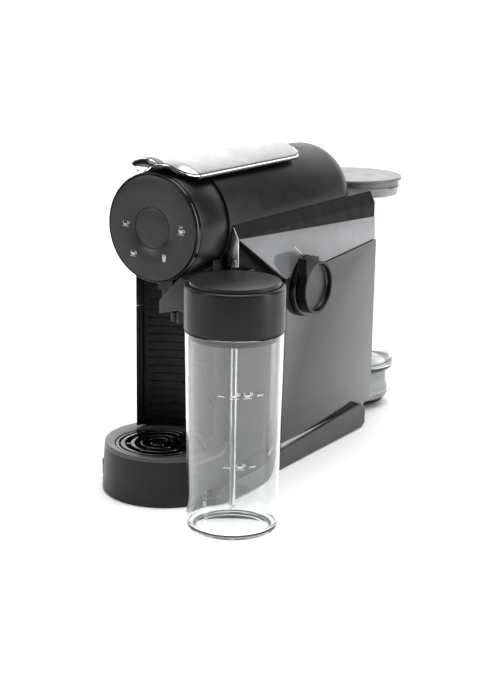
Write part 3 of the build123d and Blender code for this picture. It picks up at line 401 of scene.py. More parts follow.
def clear(name, tint, rough, ior, wave_depth):
    """Clear moulded plastic with a very faint waviness."""
    material, shader = new_material(name, IOR=ior, Transmission_Weight=1.0)
    coords = add(material, "TexCoord").outputs["Object"]
    flow = noise(material, coords, per_metre(WAVE_WIDTH), 1.0)
    haze = noise(material, coords, per_metre(HAZE_WIDTH), 3.0)
    link(material, two_tone(material, flow, tint, UNTINTED), shader, "Base Color")
    link(material, spread(material, haze, rough * 0.6, rough * 1.4), shader, "Roughness")
    relief(material, flow, 0.4, wave_depth, shader)
    path = add(material, "LightPath")
    lamp_light = add(material, "BsdfTransparent", Color=colour(tint))
    both = add(material, "MixShader")
    end = material.node_tree.nodes["Material Output"]
    link(material, path.outputs["Is Shadow Ray"], both, 0)
    link(material, shader.outputs["BSDF"], both, 1)
    link(material, lamp_light.outputs["BSDF"], both, 2)
    link(material, both.outputs["Shader"], end, "Surface")
    return material


jug_clear = clear("clear_copolyester", "#f8fafa", 0.01, 1.54, 0.008)
tank_clear = clear("clear_san", "#dfe3e3", 0.012, 1.56, 0.01)
tube_clear = clear("clear_polypropylene", "#eceff0", 0.12, 1.49, 0.05)
print_grey = moulded("grey_screen_print_ink", "#b9babb", "#c6c7c8", 0.5, 0.9, 0.01)
print_white = moulded("white_screen_print_ink", "#e9e9ea", "#f1f1f2", 0.5, 0.9, 0.01)
silicone = moulded("milky_silicone_rubber", "#c9c9c6", "#d3d3d0", 0.5, 1.2, 0.03, ior=1.42)
board_green = moulded("green_glass_epoxy_board", "#1c5a36", "#236a41", 0.35, 0.8, 0.02, ior=1.55)
print("all materials:", len(bpy.data.materials))

# %% [markdown]
# ## The head
# The head is a tube with a flat control disc of hard-coated acrylic in front and a round start button in
# the middle. The disc is spun from a thin ring outline with a chamfered rim, and its edges are then
# rounded. The button has a short stem at its back and a fine groove near its rim.

# %% Control disc and start button
DISC_R, DISC_T = 41.0, 3.2
BUTTON_R, STEM_R, STEM_LEN = 15.9, 3, 2.6
GAP = 0.3
disc = lathe("disc_plate", [
    (BUTTON_R + GAP, 0), (BUTTON_R + GAP, DISC_T), (DISC_R - 0.8, DISC_T),
    (DISC_R, DISC_T - 0.7), (DISC_R, 0), (BUTTON_R + GAP, 0),
])
round_edges(disc, 0.25, 2)
place(disc, at(0, DISC_T, HEAD_Z), FRONT)
finish(disc, "machine", disc_face, ["control_disc"])

button = lathe("button_plate", [
    (0, -STEM_LEN), (STEM_R, -STEM_LEN), (STEM_R, 0), (BUTTON_R, 0), (BUTTON_R, DISC_T),
    (BUTTON_R - 1.3, DISC_T), (BUTTON_R - 1.6, DISC_T - 0.2), (BUTTON_R - 1.9, DISC_T), (0, DISC_T),
])
round_edges(button, 0.2, 2)
place(button, at(0, DISC_T + 0.1, HEAD_Z), FRONT)
finish(button, "button", disc_face, ["start_button"])

# %% [markdown]
# A thin glossy bezel holds the disc, and a satin collar runs back from it to the seam with the tube. The
# bezel's shoulders are chamfered, because a chamfer on a glossy ring always shows as one fine bright
# line. The coffee spout passes through a square opening in the collar's belly.

# %% Bezel and collar
BEZEL_R, BEZEL_T, BEZEL_FOOT = 42.3, 3.55, 4
bezel = lathe("bezel_ring", [
    (DISC_R + GAP, 0), (DISC_R + GAP, DISC_T), (DISC_R + 2 * GAP, BEZEL_T), (BEZEL_R - GAP, BEZEL_T),
    (BEZEL_R, 3.1), (BEZEL_R, 0), (DISC_R + GAP, 0),
], 160)
place(bezel, at(0, BEZEL_FOOT, HEAD_Z), FRONT)
finish(bezel, "machine", gloss_black, ["disc_bezel"], smooth=80)

COLLAR_R, COLLAR_LEN, COLLAR_T, COLLAR_FOOT = 42.75, 35.6, 2.5, 39.8
SPOUT_Y, SPOUT_HALF = 24, 8.3
collar = lathe("collar_sleeve", [
    (COLLAR_R - COLLAR_T, 0), (COLLAR_R, 0), (COLLAR_R, COLLAR_LEN - 1), (COLLAR_R - 0.4, COLLAR_LEN),
    (COLLAR_R - COLLAR_T, COLLAR_LEN), (COLLAR_R - COLLAR_T, 0),
], 160)
place(collar, at(0, COLLAR_FOOT, HEAD_Z), FRONT)
passage = plate("passage", rectangle(-SPOUT_HALF, -SPOUT_HALF, SPOUT_HALF, SPOUT_HALF), 30)
place(passage, at(0, SPOUT_Y, HEAD_Z - 60))
cut(collar, passage)
round_edges(collar, 0.3)
finish(collar, "machine", satin_black, ["front_collar"])

# %% [markdown]
# The pictograms are screen printed: three cups and a glass, spread round the button. Each one is a thin
# film of grey ink that stands a few hundredths of a millimetre proud. They are built from flat plates: a
# cup is a filled outline, its handle a ring, its saucer a bar.

# %% Printed pictograms
INK = 0.05


def bar(width, height, x=0.0, y=0.0):
    """A printed bar with its middle at x, y."""
    piece = plate("bar", rectangle(-width / 2, -height / 2, width / 2, height / 2), INK)
    return place(piece, Vector((x, y, 0)) * MM)


def cup_shape(size, drink):
    """A cup with saucer, as wide as size in mm; drink is the level of the bar inside."""
    half = size * 0.32
    bowl = plate("bowl", [
        (-half, size * 0.3), (-half, 0), (-half * 0.6, -size * 0.2), (half * 0.6, -size * 0.2),
        (half, 0), (half, size * 0.3), (half * 0.8, size * 0.3), (half * 0.8, size * drink),
        (-half * 0.8, size * drink), (-half * 0.8, size * 0.3), (-half, size * 0.3),
    ], INK)
    handle = lathe("handle", [
        (size * 0.1, 0), (size * 0.16, 0), (size * 0.16, INK), (size * 0.1, INK), (size * 0.1, 0),
    ], 20)
    place(handle, Vector((half + size * 0.08, size * 0.08, 0)) * MM)
    return [bowl, handle, bar(size * 0.9, size * 0.06, 0, -size * 0.33)]


def glass_shape(size):
    """An upright glass, filled."""
    half = size * 0.3
    rim = bar(size * 0.6, size * 0.07, 0, size * 0.42)
    body = plate("body", [
        (-half, size * 0.3), (-half * 0.75, -size * 0.42), (half * 0.75, -size * 0.42),
        (half, size * 0.3), (-half, size * 0.3),
    ], INK)
    return [rim, body]


def steam():
    """Three short upright lines above a cup."""
    return [bar(0.5, 1.6, x, 3.6) for x in (-1.1, 0, 1.1)]


CUP_SIZE, GLASS_SIZE = 6.6, 6.2
PICTOGRAMS = {
    "picto_short_cup": (-25.6, 214.6, cup_shape(CUP_SIZE, -0.05)),
    "picto_long_cup": (-18.4, 192.0, cup_shape(CUP_SIZE, 0.1)),
    "picto_milk_glass": (11.2, 191.4, glass_shape(GLASS_SIZE)),
    "picto_milk_cup": (27.0, 213.7, cup_shape(CUP_SIZE, 0.2) + steam()),
}
for name, (across, height, shapes) in PICTOGRAMS.items():
    picto = join(name, shapes)
    place(picto, at(across, 0, height), FRONT, RIGHT)
    finish(picto, "machine", print_grey)

# %% [markdown]
# Behind the collar the tube runs back and closes in a round end. It is the largest curved surface and it
# carries the long highlights, so it is spun with many steps. Its roof is open at the capsule slot and at
# the lever's hinge, and its belly is open where used capsules drop. Those openings are cut with Boolean
# modifiers.

# %% Tube with its round end
TUBE_R, TUBE_FRONT, TUBE_STRAIGHT, END_R, WALL = 44.0, 40.4, 214.0, 34.0, 2.5


def tube_half(radius, end_r, front, steps=14):
    """Half outline of the tube, from the open front round to the axis at the rear."""
    points = [(radius, front)]
    for step in range(steps + 1):
        turn = math.radians(90 * step / steps)
        points.append((radius - end_r + end_r * math.cos(turn), TUBE_STRAIGHT + end_r * math.sin(turn)))
    return points + [(0, TUBE_STRAIGHT + end_r)]


outside = tube_half(TUBE_R, END_R, TUBE_FRONT)
inside = tube_half(TUBE_R - WALL, END_R - WALL, TUBE_FRONT)
tube = lathe("tube_shell", outside + inside[::-1] + outside[:1], 144)
place(tube, at(0, 0, HEAD_Z), BACK)


def cut_box(piece, low, high):
    """Cuts a box, given by two corners in head millimetres."""
    block = plate("block", rectangle(low[0], low[1], high[0], high[1]), high[2] - low[2])
    place(block, at(0, 0, low[2]))
    return cut(piece, block)


ROOF_LOW, ROOF_HIGH = 228.6, 270
OPENINGS = {
    "capsule_slot": ((-18.5, 47, ROOF_LOW), (18.5, 93, ROOF_HIGH)),
    "lever_hinge": ((-14.2, 157.3, ROOF_LOW), (14.2, 173.2, ROOF_HIGH)),
    "used_capsules": ((-22, 48, 150), (22, 100, 190)),
}
for low, high in OPENINGS.values():
    cut_box(tube, low, high)
round_edges(tube, 0.5, 2)
finish(tube, "machine", soft_black, ["head_tube"])

# %% [markdown]
# ## The lever
# The lever is the machine's brightest piece: a chromed skin, arched across like a saddle, that narrows in
# an S to a finger lip. The lip swells up, rolls over and comes down in front. On the roll, two bands of
# black are painted where it shows shade and a dark reflection. The thin bright chrome strip left between
# them is a painted highlight on the crease. No single operator gives that double curve, so a fine grid is
# laid out first and each of its vertices is then moved by one formula: its row says how far along the
# lever it is, and its column how far across. The outermost columns keep the same width everywhere and
# make the rim, with a shallow sunken line inside it whose faces are painted black as its shade. Solidify
# then gives the sheet its thickness.

# %% Lever skin
LEVER_REAR, LEVER_HALF, LIP_HALF, SKIN_T = 168.0, 31.0, 13.8, 2.4
ARCH_R = 48.0
REAR_CORNER, RIM_W, RIM_SHARE = 10.0, 2.2, 0.9
GROOVE_W, GROOVE_DEEP = 0.8, 0.5
ON_EDGE, ON_GROOVE = 0.99, 0.91
ROWS, COLUMNS = 200, 40
LIP_START, CURL_START, NOSE_START = 0.6, 0.84, 0.78
LIP = [Vector((y, z)) for y, z in ((26, 265.0), (10, 265.0), (4, 268.2), (-4, 268.2))]
CURL = [Vector((y, z)) for y, z in ((-4, 268.2), (-9.5, 268.2), (-13, 265.0), (-13.2, 258.9))]
S_REAR, S_FRONT = 22.0, 1.0
LIP_DROP, DROP_REAR, DROP_FRONT = 5.4, 22.0, 2.0
NOSE_TAPER, NOSE_POWER = 0.9, 2.4


def bezier(points, share):
    """A point on a cubic curve."""
    a, b, c, d = points
    rest = 1 - share
    return a * rest**3 + b * 3 * rest**2 * share + c * 3 * rest * share**2 + d * share**3


def ease(low, high, value):
    """Goes smoothly from 0 at low to 1 at high."""
    turn = min(max((value - low) / (high - low), 0), 1)
    return turn * turn * (3 - 2 * turn)


def lever_spine(share):
    """Depth and height of the lever's middle line, from its rear end to the front of the lip."""
    if share < LIP_START:
        return Vector((LEVER_REAR + (LIP[0].x - LEVER_REAR) * share / LIP_START, LIP[0].y))
    if share < CURL_START:
        return bezier(LIP, (share - LIP_START) / (CURL_START - LIP_START))
    return bezier(CURL, (share - CURL_START) / (1 - CURL_START))


def lever_half(depth, share):
    """Half width: round rear corners, an S in front, then the round nose of the lip."""
    into_corner = REAR_CORNER - (LEVER_REAR - depth)
    if into_corner > 0:
        return LEVER_HALF - REAR_CORNER + math.sqrt(max(REAR_CORNER**2 - into_corner**2, 0))
    half = LEVER_HALF + (LIP_HALF - LEVER_HALF) * ease(-S_REAR, -S_FRONT, -depth)
    nose = max(share - NOSE_START, 0) / (1 - NOSE_START)
    return half * math.sqrt(1 - NOSE_TAPER * nose**NOSE_POWER)


def lever_skin(name):
    """The arched grid. Its outermost vertices are the edge, the next ones the bottom of the shadow line."""
    bpy.ops.object.select_all(action="DESELECT")
    bpy.ops.mesh.primitive_grid_add(x_subdivisions=COLUMNS, y_subdivisions=ROWS, size=2)
    skin = bpy.context.object
    for vertex in skin.data.vertices:
        column, share = vertex.co.x, (1 - vertex.co.y) / 2
        middle_line = lever_spine(share)
        half = lever_half(middle_line.x, share)
        if abs(column) > ON_EDGE:
            across, sunk = half, 0.0
        elif abs(column) > ON_GROOVE:
            across, sunk = half - RIM_W + GROOVE_W, GROOVE_DEEP
        else:
            across, sunk = (half - RIM_W) * abs(column) / RIM_SHARE, 0.0
        across = math.copysign(across, column)
        arch = ARCH_R - math.sqrt(ARCH_R**2 - across**2)
        lip = ease(-DROP_REAR, -DROP_FRONT, -middle_line.x)
        nose = max(share - CURL_START, 0) / (1 - CURL_START)
        drop = arch + (LIP_DROP * (1 - nose) * (across / LIP_HALF) ** 2 - arch) * lip
        vertex.co = at(across, middle_line.x, middle_line.y - drop - sunk)
    skin.name = name
    return skin


lever = lever_skin("lever_skin")
for material in (satin_chrome, chrome_plate, gloss_black):
    lever.data.materials.append(material)
BRIGHT, PAINTED_DARK = 1, 2
# Painted shade and reflection: faces in the sunken rim line and in two bands of rows on the roll get black
# material as painted shade and dark reflection. The two rows between the bands stay bright chrome as a
# painted highlight on the crease.
RIM_COLUMNS, DARK_REFLECTION_ROWS = 2, ((161, 176), (178, 195))
for index, face in enumerate(lever.data.polygons):
    row, column = ROWS - 1 - index // COLUMNS, index % COLUMNS
    from_edge = min(column, COLUMNS - 1 - column)
    on_dark_reflection = any(first <= row < last for first, last in DARK_REFLECTION_ROWS) and from_edge >= RIM_COLUMNS
    if on_dark_reflection or from_edge == RIM_COLUMNS - 1:
        face.material_index = PAINTED_DARK
    elif from_edge == 0 or row > DARK_REFLECTION_ROWS[0][0]:
        face.material_index = BRIGHT
print("black faces:", sum(face.material_index == PAINTED_DARK for face in lever.data.polygons))
modify(lever, "SOLIDIFY", thickness=SKIN_T * MM, offset=-1, use_even_offset=True, material_offset_rim=BRIGHT)
round_edges(lever, 0.5, 3, 50)
finish(lever, "lever", satin_chrome, ["lever_plate"])

# %% [markdown]
# ## The body
# The body's sides carry two facets: a tall flat panel and, above a slanting crease, a wedge that tilts up
# and inwards. Both are polished dark plastic that mirrors the surroundings, so each is cut as a plate
# with small rounded edges. The wedge's plastic is painted a lighter grey than the panel's, as painted
# light for the light that falls on its upward face. The wedge starts as a plate as thick as its lowest
# edge and is then bisected along its tilted face.

# %% Side panels and wedges
PANEL_T, SIDE = 3.0, 50.0
KNOB_Y, KNOB_Z = 141.0, 150.7
KNOB_HOLE_R = 25.2
PANEL_FRONT, PANEL_LOW, BODY_REAR = 108, 21.2, 262
WEDGE_TIP, WEDGE_TIP_Z, WEDGE_REAR_Z = 43.5, 204, 191.4
PANEL_EDGE = [
    (PANEL_FRONT, PANEL_LOW), (BODY_REAR, PANEL_LOW), (BODY_REAR, 171.25), (109.6, 160.95),
    (PANEL_FRONT, PANEL_LOW),
]
WEDGE_EDGE = [
    (WEDGE_TIP, WEDGE_TIP_Z), (109.9, 161.45), (BODY_REAR, 171.75), (BODY_REAR, WEDGE_REAR_Z),
    (WEDGE_TIP, WEDGE_TIP_Z),
]
wedge_tip = Vector((50.5, WEDGE_TIP, WEDGE_TIP_Z))
wedge_rear = Vector((50.5, BODY_REAR, WEDGE_REAR_Z))
wedge_low = Vector((SIDE + PANEL_T, 109.9, 161.2))
tilt = (wedge_low - wedge_tip).cross(wedge_rear - wedge_tip).normalized()


def side_plate(name, outline, side):
    """A plate on one side of the body: its outline is given in depth and height."""
    piece = plate(name, outline, PANEL_T)
    place(piece, at(SIDE, 0, 0), RIGHT, BACK)
    if name.startswith("wedge"):
        edit_all(piece)
        bpy.ops.mesh.bisect(plane_co=at(*wedge_tip), plane_no=tilt, use_fill=True, clear_outer=True)
        close_mesh(piece, name)
    if side > 0:
        hole = drum("hole", KNOB_HOLE_R, -9, 9, 96)
        place(hole, at(SIDE, KNOB_Y, KNOB_Z), RIGHT)
        cut(piece, hole)
    else:
        edit_all(piece)
        bpy.ops.transform.translate(value=(-HEAD.x, 0, 0))
        bpy.ops.transform.mirror(constraint_axis=(True, False, False), center_override=(0, 0, 0))
        bpy.ops.transform.translate(value=(HEAD.x, 0, 0))
        close_mesh(piece, name)
    return round_edges(piece, 0.45)


SIDE_PARTS = (("panel", PANEL_EDGE, panel_grey), ("wedge", WEDGE_EDGE, wedge_painted_lit_grey))
SIDES = ((1, "right"), (-1, "left"))
for side, word in SIDES:
    for part, outline, material in SIDE_PARTS:
        piece = side_plate(f"{part}_{word}", outline, side)
        finish(piece, "machine", material, [f"{word}_{part}"])

# %% [markdown]
# A pale strip closes each side between the panel and the skirt, and tapers towards the rear.

# %% Pale strips under the panels
TRIM_T = 2.6
TRIM_EDGE = [(109, 14.9), (250, 16.4), (250, 21.0), (109, 21.0), (109, 14.9)]
for side, word in SIDES:
    pale = plate(f"trim_{word}", TRIM_EDGE, TRIM_T)
    place(pale, at(SIDE if side > 0 else -SIDE - TRIM_T, 0, 0), RIGHT, BACK)
    round_edges(pale, 0.3, 2)
    finish(pale, "machine", trim_grey)

# %% [markdown]
# ## The milk knob
# The knob is a ring with a blunt pointer that leans to the front. Its face is a sunken disc of dark
# anodised aluminium with turning marks, held by a fine bright line. The ring is spun, the pointer is a
# plate, and a Boolean union makes them one body before the edges are rounded, so that the light runs over
# both without a step.

# %% Knob, its face and its base
KNOB_R, KNOB_BACK, KNOB_FRONT, KNOB_SINK = 22.0, 58.2, 66.0, 5
KNOB_T = KNOB_FRONT - KNOB_BACK
KNOB_BASE_R, KNOB_BASE_T, KNOB_FACE_R = 24.9, 7.6, 19.5
knob_root = at(KNOB_BACK, KNOB_Y, KNOB_Z)
knob = lathe("knob_ring", [
    (0, 0), (KNOB_R, 0), (KNOB_R, KNOB_T), (KNOB_R - 2.2, KNOB_T), (KNOB_R - 2.6, KNOB_T - KNOB_SINK),
    (0, KNOB_T - KNOB_SINK),
])
place(knob, knob_root, RIGHT, BACK)
pointer = plate("pointer", [(-1, 12), (-1, 26.2), (-21.5, 27), (-19.9, 9), (-1, 12)], KNOB_T - 0.1)
place(pointer, knob_root, RIGHT, BACK)
well = drum("well", KNOB_R - 1, 2, 12, 96)
place(well, knob_root, RIGHT, BACK)
cut(pointer, well)
modify(knob, "BOOLEAN", operation="UNION", solver="EXACT", object=pointer)
bpy.data.objects.remove(pointer)
round_edges(knob, 0.6, 3)
finish(knob, "knob", satin_black, ["milk_knob"])

face = lathe("knob_disc", [
    (0, 0.5), (14, 0.6), (18.6, 0.85), (19.1, 1.5), (KNOB_FACE_R, 1.5), (KNOB_FACE_R, 0), (0, 0),
])
place(face, at(KNOB_FRONT - KNOB_SINK, KNOB_Y, KNOB_Z), RIGHT)
finish(face, "knob", knob_metal, ["knob_face"])

base_ring = lathe("knob_base", [
    (5, 0), (KNOB_BASE_R, 0), (KNOB_BASE_R, KNOB_BASE_T - 1), (24.2, KNOB_BASE_T),
    (20, KNOB_BASE_T), (20, 7), (5, 7), (5, 0),
])
round_edges(base_ring, 0.35, 2)
place(base_ring, at(SIDE + 0.1, KNOB_Y, KNOB_Z), RIGHT)
finish(base_ring, "machine", gloss_black, ["knob_collar"])

# %% [markdown]
# A fine printed line on the wedge shows where the knob's pointer rests. It lies in the tilted face, so
# its two ends are worked out from that face.

# %% Mark beside the knob
MARK_FROM, MARK_TO, MARK_HALF = (124.5, 185.5), (136.5, 178), 0.3


def on_wedge(depth, height):
    """The place on the wedge's face at a depth and height."""
    lean = (tilt.y * (depth - wedge_tip.y) + tilt.z * (height - wedge_tip.z)) / tilt.x
    return Vector((wedge_tip.x - lean, depth, height))


mark_from, mark_to = on_wedge(*MARK_FROM), on_wedge(*MARK_TO)
mark = plate("mark_line", rectangle(0, -MARK_HALF, (mark_to - mark_from).length, MARK_HALF), INK)
place(mark, at(*mark_from), tilt, mark_to - mark_from)
finish(mark, "machine", print_white)

# %% [markdown]
# ## The milk jug
# The jug is a clear tumbler. Clear plastic shows its wall twice, outside and inside, so the outline runs
# all round the wall: up the outside, over the lip and down the inside. The foot's inner corner is an arc,
# which is what gives the bright and dark rings at the bottom. The bottom is not flat below: the jug
# stands on a narrow ring.

# %% Clear jug
JUG_LOW_R, JUG_TOP_R, JUG_H, JUG_WALL = 34.2, 36.75, 152.3, 2.2
jug_low_in, jug_top_in = JUG_LOW_R - JUG_WALL, JUG_TOP_R - JUG_WALL


def arc(centre, radius, start, stop, steps):
    """Points of an arc in (radius, height), angles in degrees."""
    turns = [math.radians(start + (stop - start) * i / steps) for i in range(steps + 1)]
    return [(centre[0] + radius * math.cos(t), centre[1] + radius * math.sin(t)) for t in turns]


glass = lathe("jug_glass", [
    (0, 1.4), (26, 1.3), (27.6, 0.9), (28.6, 0.1), (30, 0),
    *arc((JUG_LOW_R - 2.4, 2.4), 2.4, -75, 0, 5),
    (JUG_TOP_R, JUG_H - 0.4), (JUG_TOP_R - 0.6, JUG_H), (jug_top_in + 0.5, JUG_H),
    (jug_top_in, JUG_H - 0.6), (jug_low_in + 0.1, 7), *arc((jug_low_in - 3.0, 6.6), 3.1, -4, -86, 7),
    (14, 3.5), (0, 3.4),
], 160)
JUG_FOOT = Vector((JUG.x, JUG.y, 0))
place(glass, JUG_FOOT)
finish(glass, "jug", jug_clear, ["milk_jug"])

# %% [markdown]
# The lid is one deep black ring with a round cap let into its top, and a seal below that plugs the jug.
# The cap stands a little proud, so that its dark wall shows as a crescent in front. The suction tube
# hangs from the lid to just above the bottom and is cut off at a slant, so that it never seals against
# it.

# %% Lid, cap, seal and suction tube
LID_R, LID_WALL, LID_LOW, LID_SHOULDER, LID_TOP = 37.0, 5.5, 152.6, 186.0, 189.0
CAP_R, SEAL_IN_R = LID_R - 3.5, 29.2
lid = lathe("jug_lid_ring", [
    (0, LID_LOW + 3), (30, LID_LOW + 3), (30.6, LID_LOW), (LID_R - 0.5, LID_LOW), (LID_R, LID_LOW + 0.5),
    *arc((LID_R - 2.2, LID_SHOULDER - 2.2), 2.2, 0, 90, 6), (LID_R - 3.2, LID_SHOULDER - 0.4),
    (LID_R - 3.4, LID_SHOULDER - 1), (LID_R - LID_WALL, LID_SHOULDER - 1), (LID_R - LID_WALL, LID_LOW + 8),
    (0, LID_LOW + 8),
], 160)
place(lid, JUG_FOOT)
finish(lid, "jug_lid", satin_black, ["milk_lid"])

cap = lathe("lid_cap", [
    (0, LID_SHOULDER - 0.9), (CAP_R, LID_SHOULDER - 0.9), (CAP_R, LID_TOP - 0.6),
    *arc((CAP_R - 0.6, LID_TOP - 0.6), 0.6, 15, 90, 4), (0, LID_TOP),
], 160)
place(cap, JUG_FOOT)
finish(cap, "jug_lid", satin_black, ["lid_top"])

seal = lathe("seal_ring", [
    (SEAL_IN_R, LID_LOW - 6), (32.4, LID_LOW - 6), (33.2, LID_LOW - 5), (32.6, LID_LOW - 4),
    (33.2, LID_LOW - 3), (32.6, LID_LOW - 2), (33.2, LID_LOW - 1), (33, LID_LOW - 0.1),
    (SEAL_IN_R, LID_LOW - 0.1), (SEAL_IN_R, LID_LOW - 6),
])
place(seal, JUG_FOOT)
finish(seal, "jug_lid", rubber_black, ["jug_seal"])

STRAW_END, STRAW_LEN, STRAW_IN_R, STRAW_R, SLANT = 12.5, 147.2, 1.4, 2.3, 2.4
straw = lathe("suction_pipe", rectangle(STRAW_IN_R, 0, STRAW_R, STRAW_LEN), 32)
edit_all(straw)
bpy.ops.mesh.bisect(plane_co=(0, 0, SLANT * MM), plane_no=(0.7, 0, -0.7), use_fill=False, clear_outer=True)
bpy.ops.mesh.select_all(action="DESELECT")
bpy.ops.mesh.select_non_manifold()
bpy.ops.mesh.bridge_edge_loops()
close_mesh(straw, "suction_pipe")
place(straw, JUG_FOOT + UP * STRAW_END * MM)
finish(straw, "jug_lid", tube_clear, ["suction_tube"])

# %% [markdown]
# Two rows of small cup marks are printed on the jug as fill levels. A print has to follow the round wall,
# so the marks are drawn flat, subdivided and then each vertex is wrapped round the jug by turning its
# sideways distance into an angle. They float a few hundredths of a millimetre off the wall.

# %% Level marks on the jug
OFF_WALL = 0.03
MARK_TURN = VIEW_AZIMUTH + 0.16
LINE_LEN, LINE_W, MARK_CUP, CUP_PITCH = 5.2, 0.7, 7.5, 9.5
MARK_ROWS = {"marks_high": (111.5, 14.6, 2), "marks_low": (57.6, 9.6, 1)}


def wrap_on_jug(piece, height):
    """Wraps a flat drawing, made in millimetres round its own origin, on the front of the jug."""
    edit_all(piece)
    bpy.ops.mesh.quads_convert_to_tris()
    bpy.ops.mesh.subdivide(number_cuts=2)
    bpy.ops.object.mode_set(mode="OBJECT")
    for vertex in piece.data.vertices:
        rise = vertex.co.y / MM + height
        wall = JUG_LOW_R + (JUG_TOP_R - JUG_LOW_R) * rise / JUG_H + OFF_WALL + vertex.co.z / MM
        turn = vertex.co.x / MM / wall + MARK_TURN
        vertex.co = JUG_FOOT + Vector((wall * math.sin(turn), -wall * math.cos(turn), rise)) * MM
    return piece


for name, (height, half_gap, cups) in MARK_ROWS.items():
    shapes = [bar(LINE_LEN, LINE_W, -half_gap), bar(LINE_LEN, LINE_W, half_gap)]
    for index in range(cups):
        shift = (index - (cups - 1) / 2) * CUP_PITCH
        drawn = join("cup", cup_shape(MARK_CUP, 0.0))
        place(drawn, Vector((shift, 1, 0)) * MM)
        shapes.append(drawn)
    marks = wrap_on_jug(join(name, shapes), height)
    finish(marks, "jug", print_white)

# %% [markdown]
# The spout arm reaches from the lid to the cup and carries two nozzles. It is a block whose top slopes
# down to its tip. It starts as a plate seen from the side and gets generous rounded edges, as hollow
# moulded arms have.

# %% Spout arm and nozzles
SPOUT_TO = Vector((10.0, 4.0, 0))
ARM_LOW, ARM_HIGH, ARM_W, BEND = 155, 182, 13.6, 60
TIP_LOW, TIP_HIGH = 148.4, 158.6
NOZZLE_LOW, NOZZLE_R, NOZZLE_BORE, NOZZLES_AT = 143.6, 2.8, 1.5, (64.5, 71.5)
jug_in_head = Vector(((JUG.x - HEAD.x) / MM, (JUG.y - FACE_Y) / MM, 0))
toward = (SPOUT_TO - jug_in_head).normalized()
reach = (SPOUT_TO - jug_in_head).length
arm = plate("spout_arm", [
    (LID_R - 0.2, ARM_LOW), (BEND, ARM_LOW), (reach, TIP_LOW), (reach, TIP_HIGH), (57, ARM_HIGH),
    (LID_R - 0.2, ARM_HIGH), (LID_R - 0.2, ARM_LOW),
], ARM_W)
across_arm = toward.cross(UP)
place(arm, JUG_FOOT - across_arm * ARM_W / 2 * MM, across_arm, toward)
round_edges(arm, 1.1, 4)
finish(arm, "jug_lid", satin_black, ["milk_spout"])

nozzles = []
for distance in NOZZLES_AT:
    root = ARM_LOW - (distance - BEND) * (ARM_LOW - TIP_LOW) / (reach - BEND)
    length = root - NOZZLE_LOW - 0.8
    nozzle = lathe("nozzle", [
        (NOZZLE_BORE, 0), (2.3, 0), (NOZZLE_R, 1.2), (NOZZLE_R, length), (NOZZLE_BORE, length),
        (NOZZLE_BORE, 0),
    ], 40)
    place(nozzle, JUG_FOOT + toward * distance * MM + UP * NOZZLE_LOW * MM)
    nozzles.append(nozzle)
finish(join("spout_tips", nozzles), "jug_lid", satin_black, ["spout_nozzles"])

# %% [markdown]
# ## Drip tray
# The tray is a round bowl that narrows slightly upwards, with a satin deck on top. The grille sits
# off-centre in the deck, forward of the middle, so the deck is spun as a full disc and the grille's seat
# is cut out of it.

# %% Tray bowl and deck
TRAY_Y, TRAY_LOW_R, TRAY_TOP_R, DECK_LOW, TRAY_H = 18.0, 51.0, 48.8, 36.6, 40.0
GRILLE_Y, SEAT_R = 8.0, 34.75
bowl_top = DECK_LOW - 0.1
bowl = lathe("tray_bowl", [
    (0, 0.4), (46, 0.4), (47, 0), *arc((TRAY_LOW_R - 1.6, 1.6), 1.6, -80, 0, 4),
    (TRAY_TOP_R + 0.2, bowl_top), (TRAY_TOP_R - 2.4, bowl_top), (TRAY_TOP_R - 2.6, 4),
    (TRAY_TOP_R - 5, 2.6), (0, 2.6),
], 160)
place(bowl, at(0, TRAY_Y, 0))
finish(bowl, "tray", soft_black, ["drip_tray"])

deck = lathe("tray_deck", [
    (0, DECK_LOW), (TRAY_TOP_R + 0.15, DECK_LOW), *arc((TRAY_TOP_R - 1.3, TRAY_H - 1.3), 1.3, 0, 90, 5),
    (0, TRAY_H),
], 160)
place(deck, at(0, TRAY_Y, 0))
seat = drum("seat", SEAT_R, 30, 50)
place(seat, at(0, GRILLE_Y, 0))
cut(deck, seat)
round_edges(deck, 0.3, 2, 50)
finish(deck, "tray", deck_grey, ["tray_cover"])

# %% [markdown]
# The grille is four flat rings and a middle disc on six spokes. Each ring is spun with rounded shoulders,
# because the bright crescents on a glossy grille come from those shoulders. The spokes lie lower, so that
# the rings read as rings.

# %% Grille
GRILLE_LOW, GRILLE_TOP = DECK_LOW + 0.1, TRAY_H - 0.4
SHOULDER, SPOKES, SPOKE_HALF = 0.8, 6, 1.1
RING_RADII = ((34.2, 31.4), (30.0, 26.4), (22.2, 18.0), (14.2, 11.2), (6.4, 0))
rings = []
for outer, inner in RING_RADII:
    outline = [(inner, GRILLE_LOW), (outer, GRILLE_LOW)]
    outline += arc((outer - SHOULDER, GRILLE_TOP - SHOULDER), SHOULDER, 0, 90, 3)
    if inner:
        outline += arc((inner + SHOULDER, GRILLE_TOP - SHOULDER), SHOULDER, 90, 180, 3) + outline[:1]
    else:
        outline.append((0, GRILLE_TOP))
    rings.append(lathe("ring", outline, 96))
for index in range(SPOKES):
    spoke = plate("spoke", rectangle(4, -SPOKE_HALF, 32, SPOKE_HALF), 1.3)
    turn = Quaternion(UP, math.tau * index / SPOKES + math.pi / SPOKES)
    place(spoke, UP * GRILLE_LOW * MM, UP, turn @ RIGHT)
    rings.append(spoke)
grille = join("grille_rings", rings)
place(grille, at(0, GRILLE_Y, 0))
finish(grille, "grille", gloss_black, ["drip_grille"])

# %% [markdown]
# ## Water tank
# Behind the body stands a tall round tank of clear plastic with a flat grey lid and a stepped grey valve
# housing below its floor. Its wall goes down past the floor as a skirt round the housing.

